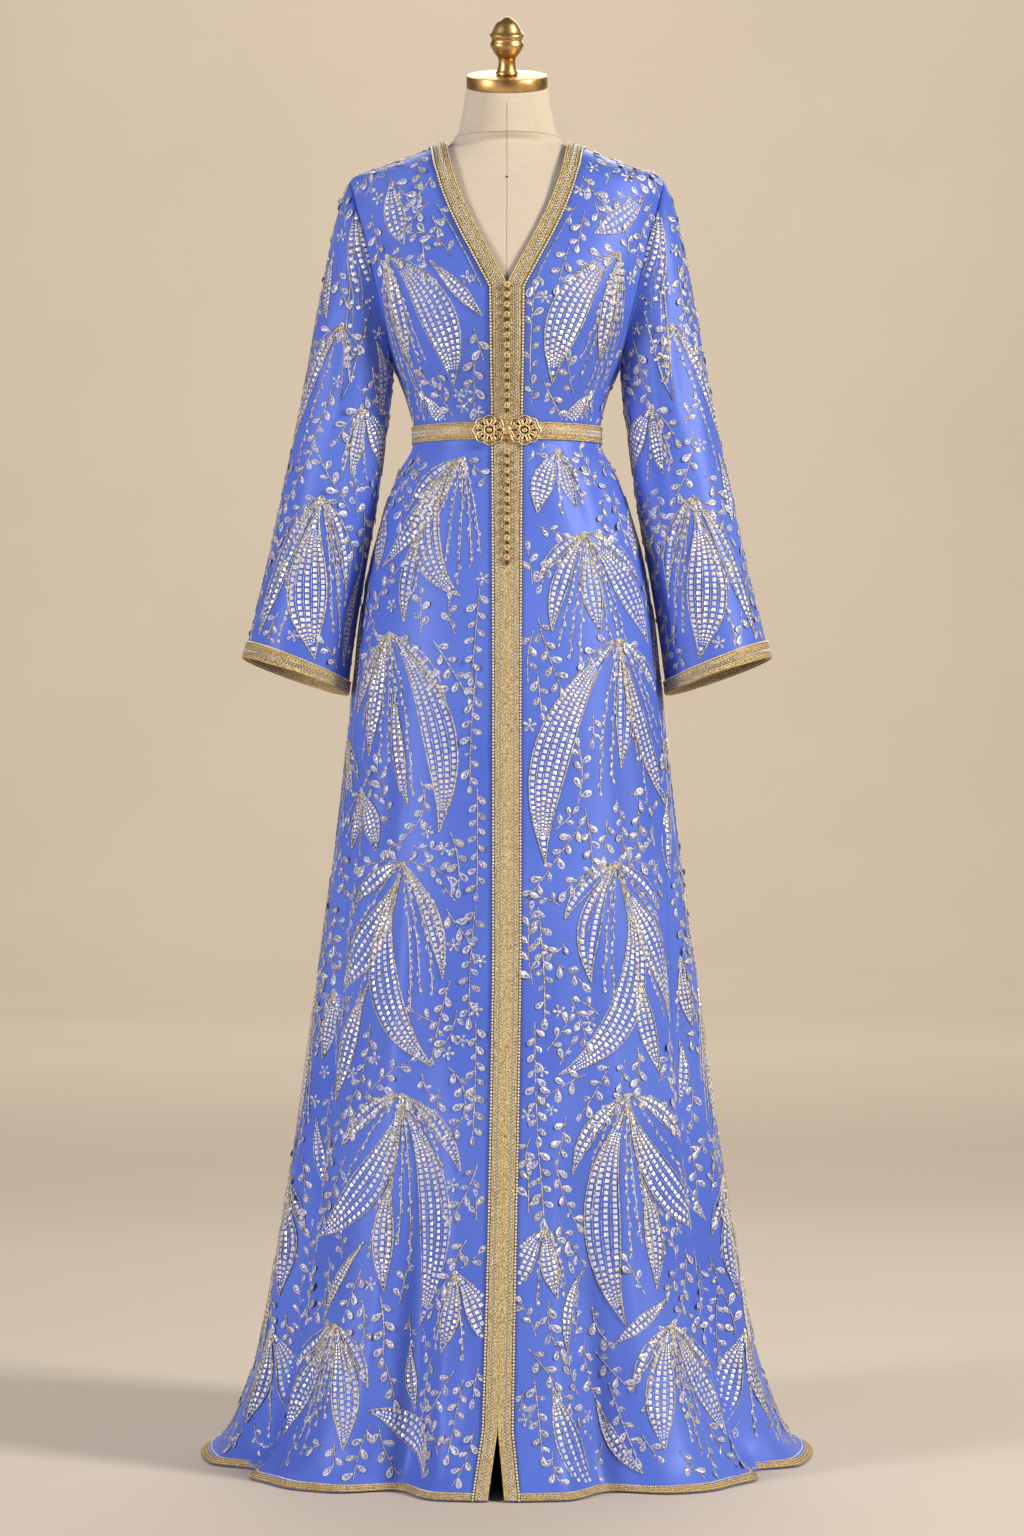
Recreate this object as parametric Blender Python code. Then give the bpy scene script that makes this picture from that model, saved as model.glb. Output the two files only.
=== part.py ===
"""A Moroccan kaftan worn by a limbless dress form on a pole stand.

Metres, +Z up. The origin is on the floor under the middle of the stand and the kaftan's front faces
-Y. A point of the garment is an angle round the body, from the centre front towards +X, and a
height above the floor; on_body turns the two into a place on the cloth's outer face. Every panel is a
grid of such points, and each braid is made from its own panel's points, moved out.
"""

import math

import bmesh
import bpy
import numpy as np
from mathutils import Matrix, Vector

# Walls and clearances
CLOTH = 0.0018  # crepe with its embroidery
BRAID = 0.0015
GAP = 0.0003  # between two pieces that touch
SEAM_SHIFT = 0.0007  # a sleeve's end stands this far out from the armhole
SHOULDER_SEAM = 0.0025  # half the gap along the shoulder seam, as an angle round the body
FORM_CLEARANCE = 0.0025

# Heights above the floor
HEM = 0.0018
SHOULDER_NECK = 1.574
SHOULDER_TIP = 1.530
UNDERARM = 1.300
NECK_POINT = 1.393  # bottom of the V
BACK_NECK = 1.556
SLIT_TOP = 0.075
BELT_TOP = 1.2325
BELT_BOTTOM = 1.2115

# Braids and closure
NECK_BRAID_WIDTH = 0.0215
SLIT_WIDTH = 0.018
HEM_DRIFT = 0.012  # the front opening hangs this far towards -X at the hem
DRIFT_TOP = 0.62
CUFF_BRAID_WIDTH = 0.021
CUFF_FACING_WIDTH = 0.013
BUTTON_DIAMETER = 0.0076
BUTTON_PITCH = 0.0114
BUTTON_LOWEST = 1.067
BELT_THICKNESS = 0.0021
BUCKLE_HALF_WIDTH = 0.0185
BUCKLE_HALF_HEIGHT = 0.0172
BUCKLE_THICKNESS = 0.0024
BUCKLE_OFFSET = BRAID + BELT_THICKNESS + 4 * GAP  # over the belt where it crosses the braids

# The armhole: an upright loop from the shoulder tip to the underarm
FRONT_SCOOP = math.radians(26)
BACK_SCOOP = math.radians(29)
ARMHOLE_STEPS = 10
SLEEVE_COLUMNS = 2 * ARMHOLE_STEPS
UNDER_TURN = 2.5  # how soon below its middle the armhole's wall turns to face the body

# Dress form and stand
FORM_BOTTOM = 0.850
CAP_TILT = math.radians(17.3)  # the neck's top slopes down to the front
CAP_CENTRE = (0.0, -0.012, 1.639)
CAP_RADIUS = 0.0485
CAP_THICKNESS = 0.0145
CAP_EDGE = 0.0012
POLE_RADIUS = 0.0125
BASE_RADIUS = 0.170
BASE_THICKNESS = 0.018


def table(columns, *rows):
    """The rows as one array for each named column."""
    return dict(zip(columns.split(), np.array(rows, float).T))


# Cross-sections of the worn kaftan, outer face: half width, and y at the front, side and back.
BODY = table(
    "height half_width front_y side_y back_y",
    (0.0000, 0.3715, -0.331, 0.038, 0.340),
    (0.0100, 0.3530, -0.322, 0.036, 0.332),
    (0.0350, 0.3325, -0.308, 0.032, 0.318),
    (0.0650, 0.3205, -0.297, 0.029, 0.306),
    (0.1250, 0.3005, -0.279, 0.024, 0.287),
    (0.2450, 0.2770, -0.250, 0.018, 0.260),
    (0.4250, 0.2480, -0.213, 0.011, 0.226),
    (0.6050, 0.2235, -0.181, 0.006, 0.195),
    (0.7850, 0.1998, -0.153, 0.003, 0.167),
    (0.9050, 0.1868, -0.137, 0.002, 0.151),
    (1.0200, 0.1735, -0.123, 0.001, 0.137),
    (1.1150, 0.1530, -0.109, 0.000, 0.115),
    (1.1700, 0.1345, -0.098, 0.000, 0.092),
    (1.2200, 0.1110, -0.089, 0.000, 0.079),
    (1.2660, 0.1200, -0.099, 0.000, 0.086),
    (1.3000, 0.1350, -0.111, 0.000, 0.093),
    (1.3600, 0.1605, -0.120, 0.001, 0.100),
    (1.4070, 0.1755, -0.115, 0.002, 0.102),
    (1.4500, 0.1845, -0.102, 0.003, 0.099),
    (1.5000, 0.1900, -0.085, 0.004, 0.089),
    (1.5200, 0.1895, -0.078, 0.004, 0.083),
    (1.5300, 0.1870, -0.074, 0.004, 0.080),
    (1.5450, 0.1480, -0.068, 0.004, 0.073),
    (1.5600, 0.1088, -0.062, 0.004, 0.067),
    (1.5740, 0.0720, -0.058, 0.004, 0.061),
)

# Skirt folds: a trough for a negative depth, fading out from the hem up to its top.
FOLDS = table(
    "angle half_width depth top",
    (-164, 11, -0.022, 0.95),
    (-141, 11, -0.027, 0.80),
    (-117, 11, -0.025, 1.00),
    (-63, 10, -0.036, 1.02),
    (-41, 9, 0.008, 0.50),
    (-23, 11, -0.046, 0.60),
    (21, 11, -0.043, 0.66),
    (38, 9, 0.010, 0.46),
    (61, 10, -0.038, 1.00),
    (113, 11, -0.026, 0.90),
    (138, 12, -0.027, 1.02),
    (166, 11, -0.022, 0.84),
)

NECKLINE = table(
    "height half_width",
    (1.393, 0.0000),
    (1.430, 0.0195),
    (1.465, 0.0375),
    (1.500, 0.0530),
    (1.533, 0.0640),
    (1.556, 0.0690),
    (1.569, 0.0712),
    (1.574, 0.0720),
)

SIDE_SEAM = table(
    "height angle",
    (0.000, 48.0),
    (0.035, 51.0),
    (0.090, 54.5),
    (0.200, 56.0),
    (0.430, 59.5),
    (0.780, 67.0),
    (0.970, 76.0),
    (1.100, 84.0),
    (1.220, 90.0),
    (1.300, 90.0),
)

FRONT_BRAID = table(
    "height width",
    (0.000, 0.0190),
    (0.300, 0.0172),
    (0.900, 0.0175),
    (1.220, 0.0190),
    (1.330, 0.0208),
    (1.393, 0.0215),
)

# The sleeve's outer and inner edges as seen from the front, and its depth at each
SLEEVE = table(
    "along outer_x outer_z inner_x inner_z front_y back_y drop",
    (0.000, 0.1873, 1.5300, 0.1356, 1.3000, -0.048, 0.052, 0.000),
    (0.060, 0.2020, 1.4980, 0.1385, 1.2760, -0.052, 0.057, 0.000),
    (0.150, 0.2125, 1.4460, 0.1425, 1.2400, -0.055, 0.060, 0.000),
    (0.270, 0.2260, 1.3770, 0.1485, 1.1950, -0.057, 0.062, 0.000),
    (0.400, 0.2395, 1.3000, 0.1550, 1.1450, -0.058, 0.064, 0.001),
    (0.540, 0.2555, 1.2200, 0.1640, 1.0910, -0.060, 0.066, 0.002),
    (0.680, 0.2725, 1.1400, 0.1735, 1.0370, -0.062, 0.069, 0.003),
    (0.820, 0.2900, 1.0580, 0.1822, 0.9830, -0.064, 0.072, 0.004),
    (0.930, 0.3060, 0.9940, 0.1880, 0.9400, -0.066, 0.074, 0.005),
    (1.000, 0.3165, 0.9560, 0.1912, 0.9130, -0.068, 0.076, 0.005),
)

# Soft hollows down the empty sleeves: angle round the tube from the outer edge over the front
SLEEVE_FOLDS = table(
    "angle half_width depth middle reach",
    (62, 26, -0.0045, 0.32, 0.30),
    (128, 24, -0.0060, 0.40, 0.34),
    (232, 30, -0.0060, 0.46, 0.36),
    (300, 26, -0.0045, 0.36, 0.30),
)

# The form's own shape: how far it lies inside the kaftan, and its neck
FORM_INSET = table(
    "height inset",
    (0.850, 0.020),
    (0.950, 0.011),
    (1.060, 0.005),
    (1.180, 0.0022),
    (1.230, 0.0000),
    (1.490, 0.0000),
    (1.530, 0.0023),
    (1.573, 0.0012),
)
NECK = table(
    "height half_width front_y back_y tilt",
    (1.5790, 0.0625, -0.0600, 0.0560, 0.0),
    (1.5880, 0.0582, -0.0595, 0.0520, 3.0),
    (1.6040, 0.0545, -0.0600, 0.0465, 8.0),
    (1.6210, 0.0512, -0.0605, 0.0405, 13.0),
)
FINIAL = table(
    "height radius",
    (0.0000, 0.0120),
    (0.0018, 0.0134),
    (0.0070, 0.0112),
    (0.0162, 0.0100),
    (0.0191, 0.0104),
    (0.0272, 0.0160),
    (0.0365, 0.0200),
    (0.0423, 0.0181),
    (0.0476, 0.0208),
    (0.0515, 0.0180),
    (0.0620, 0.0120),
    (0.0684, 0.0030),
)

# Rows of the panels below the armhole, and the neck heights that share the armhole's rows
LOWER_ROWS = (
    1.268, BELT_TOP, BELT_BOTTOM, 1.170, 1.105, 1.020, 0.915, 0.800, 0.680,
    0.560, 0.450, 0.350, 0.265, 0.190, 0.130, 0.085, 0.050, 0.025, 0.009, HEM,
)  # fmt: skip
FRONT_EDGE_ROWS = (1.574, 1.569, 1.556, 1.533, 1.500, 1.465, 1.430, NECK_POINT, 1.360, 1.328, 1.300)
BACK_CENTRE_ROWS = (1.497, 1.450, 1.400, 1.350, 1.300)  # below the back neck
BACK_NECK_ROWS = ARMHOLE_STEPS - len(BACK_CENTRE_ROWS)
BRAID_COLUMNS = 2
FRONT_COLUMNS = 11
BACK_COLUMNS = 16
SIDE_BACK_COLUMN = 8  # the seam between a back and its side back, from the shoulder to the hem
COLUMN_APART = 0.004  # the belt takes one column where two panels' edges meet


def through(xs, ys, at):
    """A smooth curve through the points, with xs rising, that never swings past them."""
    step = np.diff(xs)
    slope = np.diff(ys) / step
    tangent = np.zeros_like(ys)
    rising = slope[:-1] * slope[1:] > 0
    tangent[1:-1][rising] = (2 * slope[:-1] * slope[1:])[rising] / (slope[:-1] + slope[1:])[rising]
    tangent[0], tangent[-1] = slope[0], slope[-1]
    at = np.asarray(at, float)
    i = np.clip(np.searchsorted(xs, at) - 1, 0, len(step) - 1)
    t = np.clip((at - xs[i]) / step[i], 0, 1)
    start = ys[i] * (1 + 2 * t) * (1 - t) ** 2 + step[i] * tangent[i] * t * (1 - t) ** 2
    return start + ys[i + 1] * t**2 * (3 - 2 * t) - step[i] * tangent[i + 1] * t**2 * (1 - t)


def column(rows, name, at, key="height"):
    return through(rows[key], rows[name], at)


def unit(vectors):
    return vectors / np.linalg.norm(vectors, axis=-1, keepdims=True)


def bump(distance, half_width):
    """1 at no distance, easing to 0 at the half width."""
    return np.cos(np.clip(np.abs(distance) / half_width, 0, 1) * math.pi / 2) ** 2


def degrees_from(angle, middle):
    return (np.degrees(angle) - middle + 180) % 360 - 180


def fold_depth(angle, height):
    """How far the skirt's folds move the cloth out at a place."""
    depth = np.zeros_like(height)
    for middle, half_width, most, top in zip(*FOLDS.values()):
        across = bump(degrees_from(angle, middle), half_width)
        depth += most * across * np.clip(1 - height / top, 0, 1) ** 1.6
    return depth


def on_body(angle, height, folded=True):
    """Points of the cloth's outer face."""
    angle, height = np.broadcast_arrays(np.asarray(angle, float), np.asarray(height, float))
    half, front, side, back = (column(BODY, name, height) for name in list(BODY)[1:])
    depth = np.where(np.cos(angle) >= 0, side - front, back - side)
    point = np.stack([half * np.sin(angle), side - depth * np.cos(angle), height], -1)
    if folded:
        outward = unit(np.stack([np.sin(angle) / half, -np.cos(angle) / depth, 0 * height], -1))
        point += outward * fold_depth(angle, height)[..., None]
    return point


def slopes(surface, first, second, lowest, highest):
    """How a surface's points move with each of its two parameters; the second stays in its range."""
    small = 1e-4
    low = np.maximum(second - small, lowest)
    high = np.minimum(second + small, highest)
    by_first = (surface(first + small, second) - surface(first - small, second)) / (2 * small)
    by_second = (surface(first, high) - surface(first, low)) / (high - low)[..., None]
    return by_first, by_second


def body_slopes(angle, height):
    return slopes(on_body, angle, height, 0.0, SHOULDER_NECK)


def body_normals(angle, height):
    return unit(np.cross(*body_slopes(angle, height)))


def walk(angle, height, along, distance, steps=4):
    """Steps over the body's surface from the points of an edge, square to it, on its left."""
    stride = np.broadcast_to(distance, angle.shape)[:, None] / steps
    for _ in range(steps):
        by_angle, by_height = body_slopes(angle, height)
        normal = unit(np.cross(by_angle, by_height))
        step = unit(np.cross(normal, along)) * stride
        aa, ah, hh = ((p * q).sum(-1) for p, q in
                      ((by_angle, by_angle), (by_angle, by_height), (by_height, by_height)))
        sa, sh = (step * by_angle).sum(-1), (step * by_height).sum(-1)
        area = aa * hh - ah * ah
        angle = angle + (sa * hh - sh * ah) / area
        height = np.minimum(height + (sh * aa - sa * ah) / area, SHOULDER_NECK)
    return angle, height


def edge_direction(angle, height):
    points = on_body(angle, height)
    return unit(np.gradient(points, axis=0))


def armhole(step):
    """Height, front angle and back angle of the armhole, by steps down from the shoulder tip."""
    turn = np.asarray(step, float) * math.pi / ARMHOLE_STEPS
    middle, reach = (SHOULDER_TIP + UNDERARM) / 2, (SHOULDER_TIP - UNDERARM) / 2
    height = middle + reach * np.cos(turn)
    front = math.pi / 2 - FRONT_SCOOP * np.sin(turn)
    back = math.pi / 2 + BACK_SCOOP * np.sin(turn)
    return height, front, back


def opening_angle(height, side):
    """Where one front's edge lies at the centre front; side is +1 or -1."""
    half = column(BODY, "half_width", height)
    low = np.clip(1 - height / DRIFT_TOP, 0, 1)
    slit = SLIT_WIDTH * np.clip(1 - (height - HEM) / (SLIT_TOP - HEM), 0, 1)
    return np.arcsin((-HEM_DRIFT * low**1.3 + side * (GAP + slit) / 2) / half)


def outer_edge(facing):
    """Armhole and side seam of a panel: facing is +1 for a front, -1 for the back."""
    height, front, back = armhole(np.arange(ARMHOLE_STEPS + 1))
    lower = np.array(LOWER_ROWS)
    seam = np.radians(column(SIDE_SEAM, "angle", lower))
    angle = np.concatenate([front if facing > 0 else back, seam])
    height = np.concatenate([height, lower])
    by_angle, _ = body_slopes(angle, height)
    return angle - facing * GAP / 2 / np.linalg.norm(by_angle, axis=-1), height


def blend(start, end, count):
    """Rows of count + 1 values from start to end, one row for each pair."""
    share = np.linspace(0, 1, count + 1)
    return start[:, None] * (1 - share) + end[:, None] * share


def front_grid(side):
    """Angles and heights of one front, a row from its neck or opening edge to its outer edge."""
    height = np.array(FRONT_EDGE_ROWS + LOWER_ROWS)
    half = column(BODY, "half_width", height)
    neck = np.arcsin(np.clip(column(NECKLINE, "half_width", height) / half, 0, 1))
    angle = np.where(height > NECK_POINT + GAP, side * neck, opening_angle(height, side))
    angle[0] -= side * SHOULDER_SEAM
    width = np.where(height > NECK_POINT, NECK_BRAID_WIDTH, column(FRONT_BRAID, "width", height))
    along = side * edge_direction(angle, height)
    rows = [(angle, height)]
    for _ in range(BRAID_COLUMNS):
        rows.append(walk(*rows[-1], along, width / BRAID_COLUMNS))
    braid_angle, braid_height = (np.stack(part, 1) for part in zip(*rows))
    braid_height[height <= NECK_POINT] = height[height <= NECK_POINT, None]
    outer_angle, outer_height = outer_edge(1)
    braid_angle[0] = angle[0]
    outer_angle[0] = math.pi / 2 - SHOULDER_SEAM
    rest_angle = blend(braid_angle[:, -1], side * outer_angle, FRONT_COLUMNS)
    rest_height = blend(braid_height[:, -1], outer_height, FRONT_COLUMNS)
    return (
        np.concatenate([braid_angle[:, :-1], rest_angle], 1),
        np.concatenate([braid_height[:, :-1], rest_height], 1),
    )


def back_grid(side):
    """Half of the back: the rows of its neck edge carry the braid's columns, the rest start at its centre."""
    turn = np.linspace(0, math.pi / 2, BACK_NECK_ROWS + 1)
    angle = side * (math.pi / 2 + turn)
    height = SHOULDER_NECK - (SHOULDER_NECK - BACK_NECK) * (1 - np.cos(turn))
    angle[0] += side * SHOULDER_SEAM
    along = -side * edge_direction(angle, height)
    along[-1] = (1, 0, 0)
    rows = [(angle, height)]
    for _ in range(BRAID_COLUMNS):
        step_angle, step_height = walk(*rows[-1], along, NECK_BRAID_WIDTH / BRAID_COLUMNS)
        step_angle[0], step_angle[-1] = angle[0], angle[-1]
        rows.append((step_angle, step_height))
    braid_angle, braid_height = (np.stack(part, 1) for part in zip(*rows))
    centre = np.array(BACK_CENTRE_ROWS + LOWER_ROWS)
    inner_angle = np.concatenate([braid_angle[:, -1], np.full(len(centre), side * math.pi)])
    inner_height = np.concatenate([braid_height[:, -1], centre])
    outer_angle, outer_height = outer_edge(-1)
    outer_angle[0] = math.pi / 2 + SHOULDER_SEAM
    angles = blend(inner_angle, side * outer_angle, BACK_COLUMNS)
    heights = blend(inner_height, outer_height, BACK_COLUMNS)
    pad = ((0, len(centre)), (0, 0))
    return (
        np.concatenate([np.pad(braid_angle[:, :-1], pad), angles], 1),
        np.concatenate([np.pad(braid_height[:, :-1], pad, constant_values=1.0), heights], 1),
    )


def sleeve_point(angle, along, side=1):
    """Points of a sleeve's outer face, round the tube from its outer edge over the front."""
    angle, along = np.broadcast_arrays(np.asarray(angle, float), np.asarray(along, float))
    ox, oz, ix, iz, front, back, drop = (column(SLEEVE, name, along, "along") for name in list(SLEEVE)[1:])
    out = (1 + np.cos(angle)) / 2
    towards_front = np.sin(angle)
    middle, reach = (front + back) / 2, (back - front) / 2
    hollow = np.zeros_like(along)
    for centre, half_width, depth, place, length in zip(*SLEEVE_FOLDS.values()):
        hollow += depth * bump(degrees_from(angle, centre), half_width) * bump(along - place, length)
    tube = np.stack(
        [
            ix + (ox - ix) * out + hollow * np.cos(angle),
            middle - towards_front * (reach + hollow),
            iz + (oz - iz) * out + drop * towards_front,
        ],
        -1,
    )
    height, panel_angle = armhole_loop(angle)
    up = np.clip(-np.cos(angle), 0, 1)
    loop = on_body(panel_angle, height) + SEAM_SHIFT * np.stack([0 * up + 1, 0 * up, up], -1)
    near = np.clip(1 - along / SLEEVE["along"][2], 0, 1)[..., None] ** 2
    point = tube * (1 - near) + loop * near
    return point * np.array([side, 1, 1])


def armhole_loop(angle):
    """Height and body angle of the armhole, by the angle round the sleeve's tube."""
    step = (angle % (2 * math.pi)) * ARMHOLE_STEPS / math.pi
    height, front, back = armhole(np.minimum(step, 2 * ARMHOLE_STEPS - step))
    return height, np.where(step <= ARMHOLE_STEPS, front, back)


def sleeve_rows():
    length = SLEEVE["outer_z"][-2] - SLEEVE["outer_z"][-1]
    share = (SLEEVE["along"][-1] - SLEEVE["along"][-2]) / length
    edge = share * np.array([CUFF_BRAID_WIDTH, CUFF_FACING_WIDTH])
    return np.concatenate([SLEEVE["along"][:-2], [0.90, *(1 - edge), 1.0]])


def sleeve_grid(side):
    """Points and normals of one sleeve, a row round the tube for each place along it."""
    angle = np.arange(SLEEVE_COLUMNS) * 2 * math.pi / SLEEVE_COLUMNS
    angle, along = np.meshgrid(angle, sleeve_rows())
    points = sleeve_point(angle, along, side)
    by_angle, by_along = slopes(lambda a, b: sleeve_point(a, b, side), angle, along, 0.0, 1.0)
    normals = side * unit(np.cross(by_angle, by_along))
    # Down to the armhole's middle the sleeve's end has the panels' direction, and below it faces them.
    height, panel_angle = armhole_loop(angle[0])
    under = np.clip(-UNDER_TURN * np.cos(angle[0]), 0, 1)[:, None]
    shared = body_normals(side * panel_angle, height)
    normals[0] = unit(shared * (1 - under) + normals[1] * under)
    return points, normals


def grid_quads(rows, columns, wrap=False, skip=None):
    """Corner numbers of a grid's faces, leaving out those that skip(row, column) names."""
    quads = []
    for row in range(rows - 1):
        for col in range(columns if wrap else columns - 1):
            if skip and skip(row, col):
                continue
            following = (col + 1) % columns
            here, below = row * columns, (row + 1) * columns
            quads.append((here + col, here + following, below + following, below + col))
    return quads


def join_points(points, normals, quads):
    """One point where several meet, so that two halves become one sheet."""
    used = np.unique(np.array(quads))
    points, normals = points[used], normals[used]
    apart = np.linalg.norm(points[:, None] - points[None], axis=-1)
    first = (apart < 1e-5).argmax(1)
    kept, number = np.unique(first, return_inverse=True)
    renumber = dict(zip(used.tolist(), number.tolist()))
    normals = np.stack([normals[first == k].sum(0) for k in kept])
    faces = [tuple(renumber[corner] for corner in quad) for quad in quads]
    return points[kept], unit(normals), faces


def finish_object(name, mesh_data, finish):
    """Links a closed mesh with its faces pointing out."""
    if mesh_data.calc_volume(signed=True) < 0:
        bmesh.ops.reverse_faces(mesh_data, faces=mesh_data.faces)
    mesh = bpy.data.meshes.new(name)
    mesh_data.to_mesh(mesh)
    mesh_data.free()
    mesh.shade_smooth()
    mesh.set_sharp_from_angle(angle=math.radians(40))
    mesh.materials.append(finish)
    made = bpy.data.objects.new(name, mesh)
    bpy.context.scene.collection.objects.link(made)
    return made


def wall(name, points, normals, quads, inside, outside, finish):
    """A closed wall over a sheet of faces, between two offsets along its normals."""
    points, normals, quads = join_points(points.reshape(-1, 3), normals.reshape(-1, 3), quads)
    data = bmesh.new()
    outer = [data.verts.new(p) for p in points + normals * outside]
    inner = [data.verts.new(p) for p in points + normals * inside]
    rims = set()
    for a, b, c, d in quads:
        for face in ((a, b, c), (a, c, d)):
            data.faces.new([outer[k] for k in face])
            data.faces.new([inner[k] for k in reversed(face)])
        for start, end in ((a, b), (b, c), (c, d), (d, a)):
            if (end, start) in rims:
                rims.remove((end, start))
            else:
                rims.add((start, end))
    for start, end in sorted(rims):
        ring = [outer[end], outer[start], inner[start], inner[end]]
        if points[start][2] > points[end][2]:  # the diagonal runs from the upper outer corner
            ring = ring[1:] + ring[:1]
        data.faces.new(ring[:3])
        data.faces.new([ring[0], *ring[2:]])
    return finish_object(name, data, finish)


def loft(name, rings, finish):
    """A closed solid through rings of equal count, with flat ends."""
    data = bmesh.new()
    loops = [[data.verts.new(p) for p in ring] for ring in rings]
    count = len(loops[0])
    for lower, upper in zip(loops, loops[1:]):
        for k in range(count):
            following = (k + 1) % count
            data.faces.new([lower[k], lower[following], upper[following], upper[k]])
    data.faces.new(loops[0][::-1])
    data.faces.new(loops[-1])
    return finish_object(name, data, finish)


def turned(name, heights, radii, sides, finish):
    """A solid of revolution about +Z."""
    turn = np.arange(sides) * 2 * math.pi / sides
    rings = [
        np.stack([r * np.cos(turn), r * np.sin(turn), np.full(sides, h)], -1)
        for h, r in zip(heights, radii)
    ]
    return loft(name, rings, finish)


def material(name, colour, roughness, metallic=0.0):
    made = bpy.data.materials.new(name)
    made.use_nodes = True
    shader = made.node_tree.nodes["Principled BSDF"]
    shader.inputs["Base Color"].default_value = (*colour, 1)
    shader.inputs["Roughness"].default_value = roughness
    shader.inputs["Metallic"].default_value = metallic
    made.diffuse_color = (*colour, 1)
    return made


def build_fronts(crepe, braid):
    """Both fronts with their braid and hem trim."""
    for side, name in ((-1, "left"), (1, "right")):
        angle, height = front_grid(side)
        points, normals = on_body(angle, height), body_normals(angle, height)
        rows, columns = angle.shape
        wall(f"front_{name}", points, normals, grid_quads(rows, columns), -CLOTH, 0, crepe)
        strip = grid_quads(rows, columns, skip=lambda row, col: col >= BRAID_COLUMNS)
        wall(f"front_band_{name}", points, normals, strip, GAP, GAP + BRAID, braid)
        trim = grid_quads(rows, columns, skip=lambda row, col: row < rows - 2 or col < BRAID_COLUMNS)
        inset = points.copy()
        gap = unit(points[:, BRAID_COLUMNS + 1] - points[:, BRAID_COLUMNS]) * GAP
        inset[:, BRAID_COLUMNS] += gap
        wall(f"hem_band_{name}", inset, normals, trim, GAP, GAP + BRAID, braid)


def build_back(crepe, braid):
    """Two backs that meet at a centre seam, a side back beyond each, and the braids across them all."""
    halves = [back_grid(side) for side in (-1, 1)]
    points = np.stack([on_body(*half) for half in halves])
    normals = np.stack([body_normals(*half) for half in halves])
    rows, columns = halves[0][0].shape

    def both(skip):
        quads = grid_quads(rows, columns, skip=skip)
        return quads, [quad[::-1] for quad in quads]

    def band(name, skip):
        left, right = both(skip)
        quads = left + [tuple(corner + rows * columns for corner in quad) for quad in right]
        wall(name, points, normals, quads, GAP, GAP + BRAID, braid)

    def off_cloth(row, col):
        return row >= BACK_NECK_ROWS and col < BRAID_COLUMNS

    band("neck_band_back", lambda row, col: off_cloth(row, col) or col >= BRAID_COLUMNS)
    band("hem_band_back", lambda row, col: row < rows - 2 or col < BRAID_COLUMNS)
    seam = BRAID_COLUMNS + SIDE_BACK_COLUMN
    for side, name, half, outward in zip((-1, 1), ("left", "right"), points, normals):
        half[np.abs(half[..., 0]) < GAP / 2, 0] = side * GAP / 2
        for part, beside in (("back", seam - 1), ("side_back", seam + 1)):
            left, right = both(
                lambda row, col: off_cloth(row, col) or (col < seam) != (beside < seam)
            )
            piece = half.copy()
            piece[:, seam] += unit(half[:, beside] - half[:, seam]) * GAP / 2
            wall(f"{part}_{name}", piece, outward, left if side < 0 else right, -CLOTH, 0, crepe)


def build_sleeves(crepe, braid):
    """Each sleeve is a tube, and its braid turns over the edge and a little way up inside."""
    for side, name in ((-1, "left"), (1, "right")):
        points, normals = sleeve_grid(side)
        rows = len(points)
        quads = grid_quads(rows, SLEEVE_COLUMNS, wrap=True)
        wall(f"sleeve_{name}", points, normals, quads, -CLOTH, 0, crepe)
        top, facing, edge = rows - 3, rows - 2, rows - 1
        down = unit(points[edge] - points[facing])
        over, under = GAP, GAP + BRAID
        profile = [
            points[top] + normals[top] * over,
            points[edge] + normals[edge] * over + down * over,
            points[edge] - normals[edge] * (CLOTH + over) + down * over,
            points[facing] - normals[facing] * (CLOTH + over),
            points[facing] - normals[facing] * (CLOTH + under),
            points[edge] - normals[edge] * (CLOTH + under) + down * under,
            points[edge] + normals[edge] * under + down * under,
            points[top] + normals[top] * under,
        ]
        data = bmesh.new()
        loops = [[data.verts.new(p) for p in ring] for ring in profile]
        for here, there in zip(loops, loops[1:] + loops[:1]):
            for k in range(SLEEVE_COLUMNS):
                following = (k + 1) % SLEEVE_COLUMNS
                data.faces.new([here[k], here[following], there[following], there[k]])
        finish_object(f"cuff_band_{name}", data, braid)


def waist_columns():
    """Angles round the belt with how far out it runs at each: it steps up over the front braids."""
    right, left = (front_grid(side)[0][len(FRONT_EDGE_ROWS) + 1] for side in (1, -1))
    back_right, back_left = (back_grid(side)[0][len(FRONT_EDGE_ROWS) + 1] for side in (1, -1))
    raised = GAP + BRAID
    angles, lifts = [], []
    for angle, lift in (
        (right, [raised] * (BRAID_COLUMNS + 1) + [0] * FRONT_COLUMNS),
        (back_right[:BRAID_COLUMNS:-1], [0] * (BACK_COLUMNS)),
        (back_left[BRAID_COLUMNS:] + 2 * math.pi, [0] * (BACK_COLUMNS + 1)),
        (left[::-1] + 2 * math.pi, [0] * FRONT_COLUMNS + [raised] * (BRAID_COLUMNS + 1)),
    ):
        angles += angle.tolist()
        lifts += lift
    keep = np.concatenate([[True], np.diff(angles) > COLUMN_APART])
    keep[-1] = False
    return np.array(angles)[keep], np.array(lifts)[keep]


def build_belt(braid):
    angle, lift = waist_columns()
    angle, height = np.meshgrid(angle, (BELT_TOP, BELT_BOTTOM))
    lift = np.broadcast_to(lift, angle.shape) + GAP
    quads = grid_quads(2, angle.shape[1], wrap=True)
    normals = body_normals(angle, height)
    points = on_body(angle, height) + normals * lift[..., None]
    wall("belt", points, normals, quads, 0, BELT_THICKNESS, braid)


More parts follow.
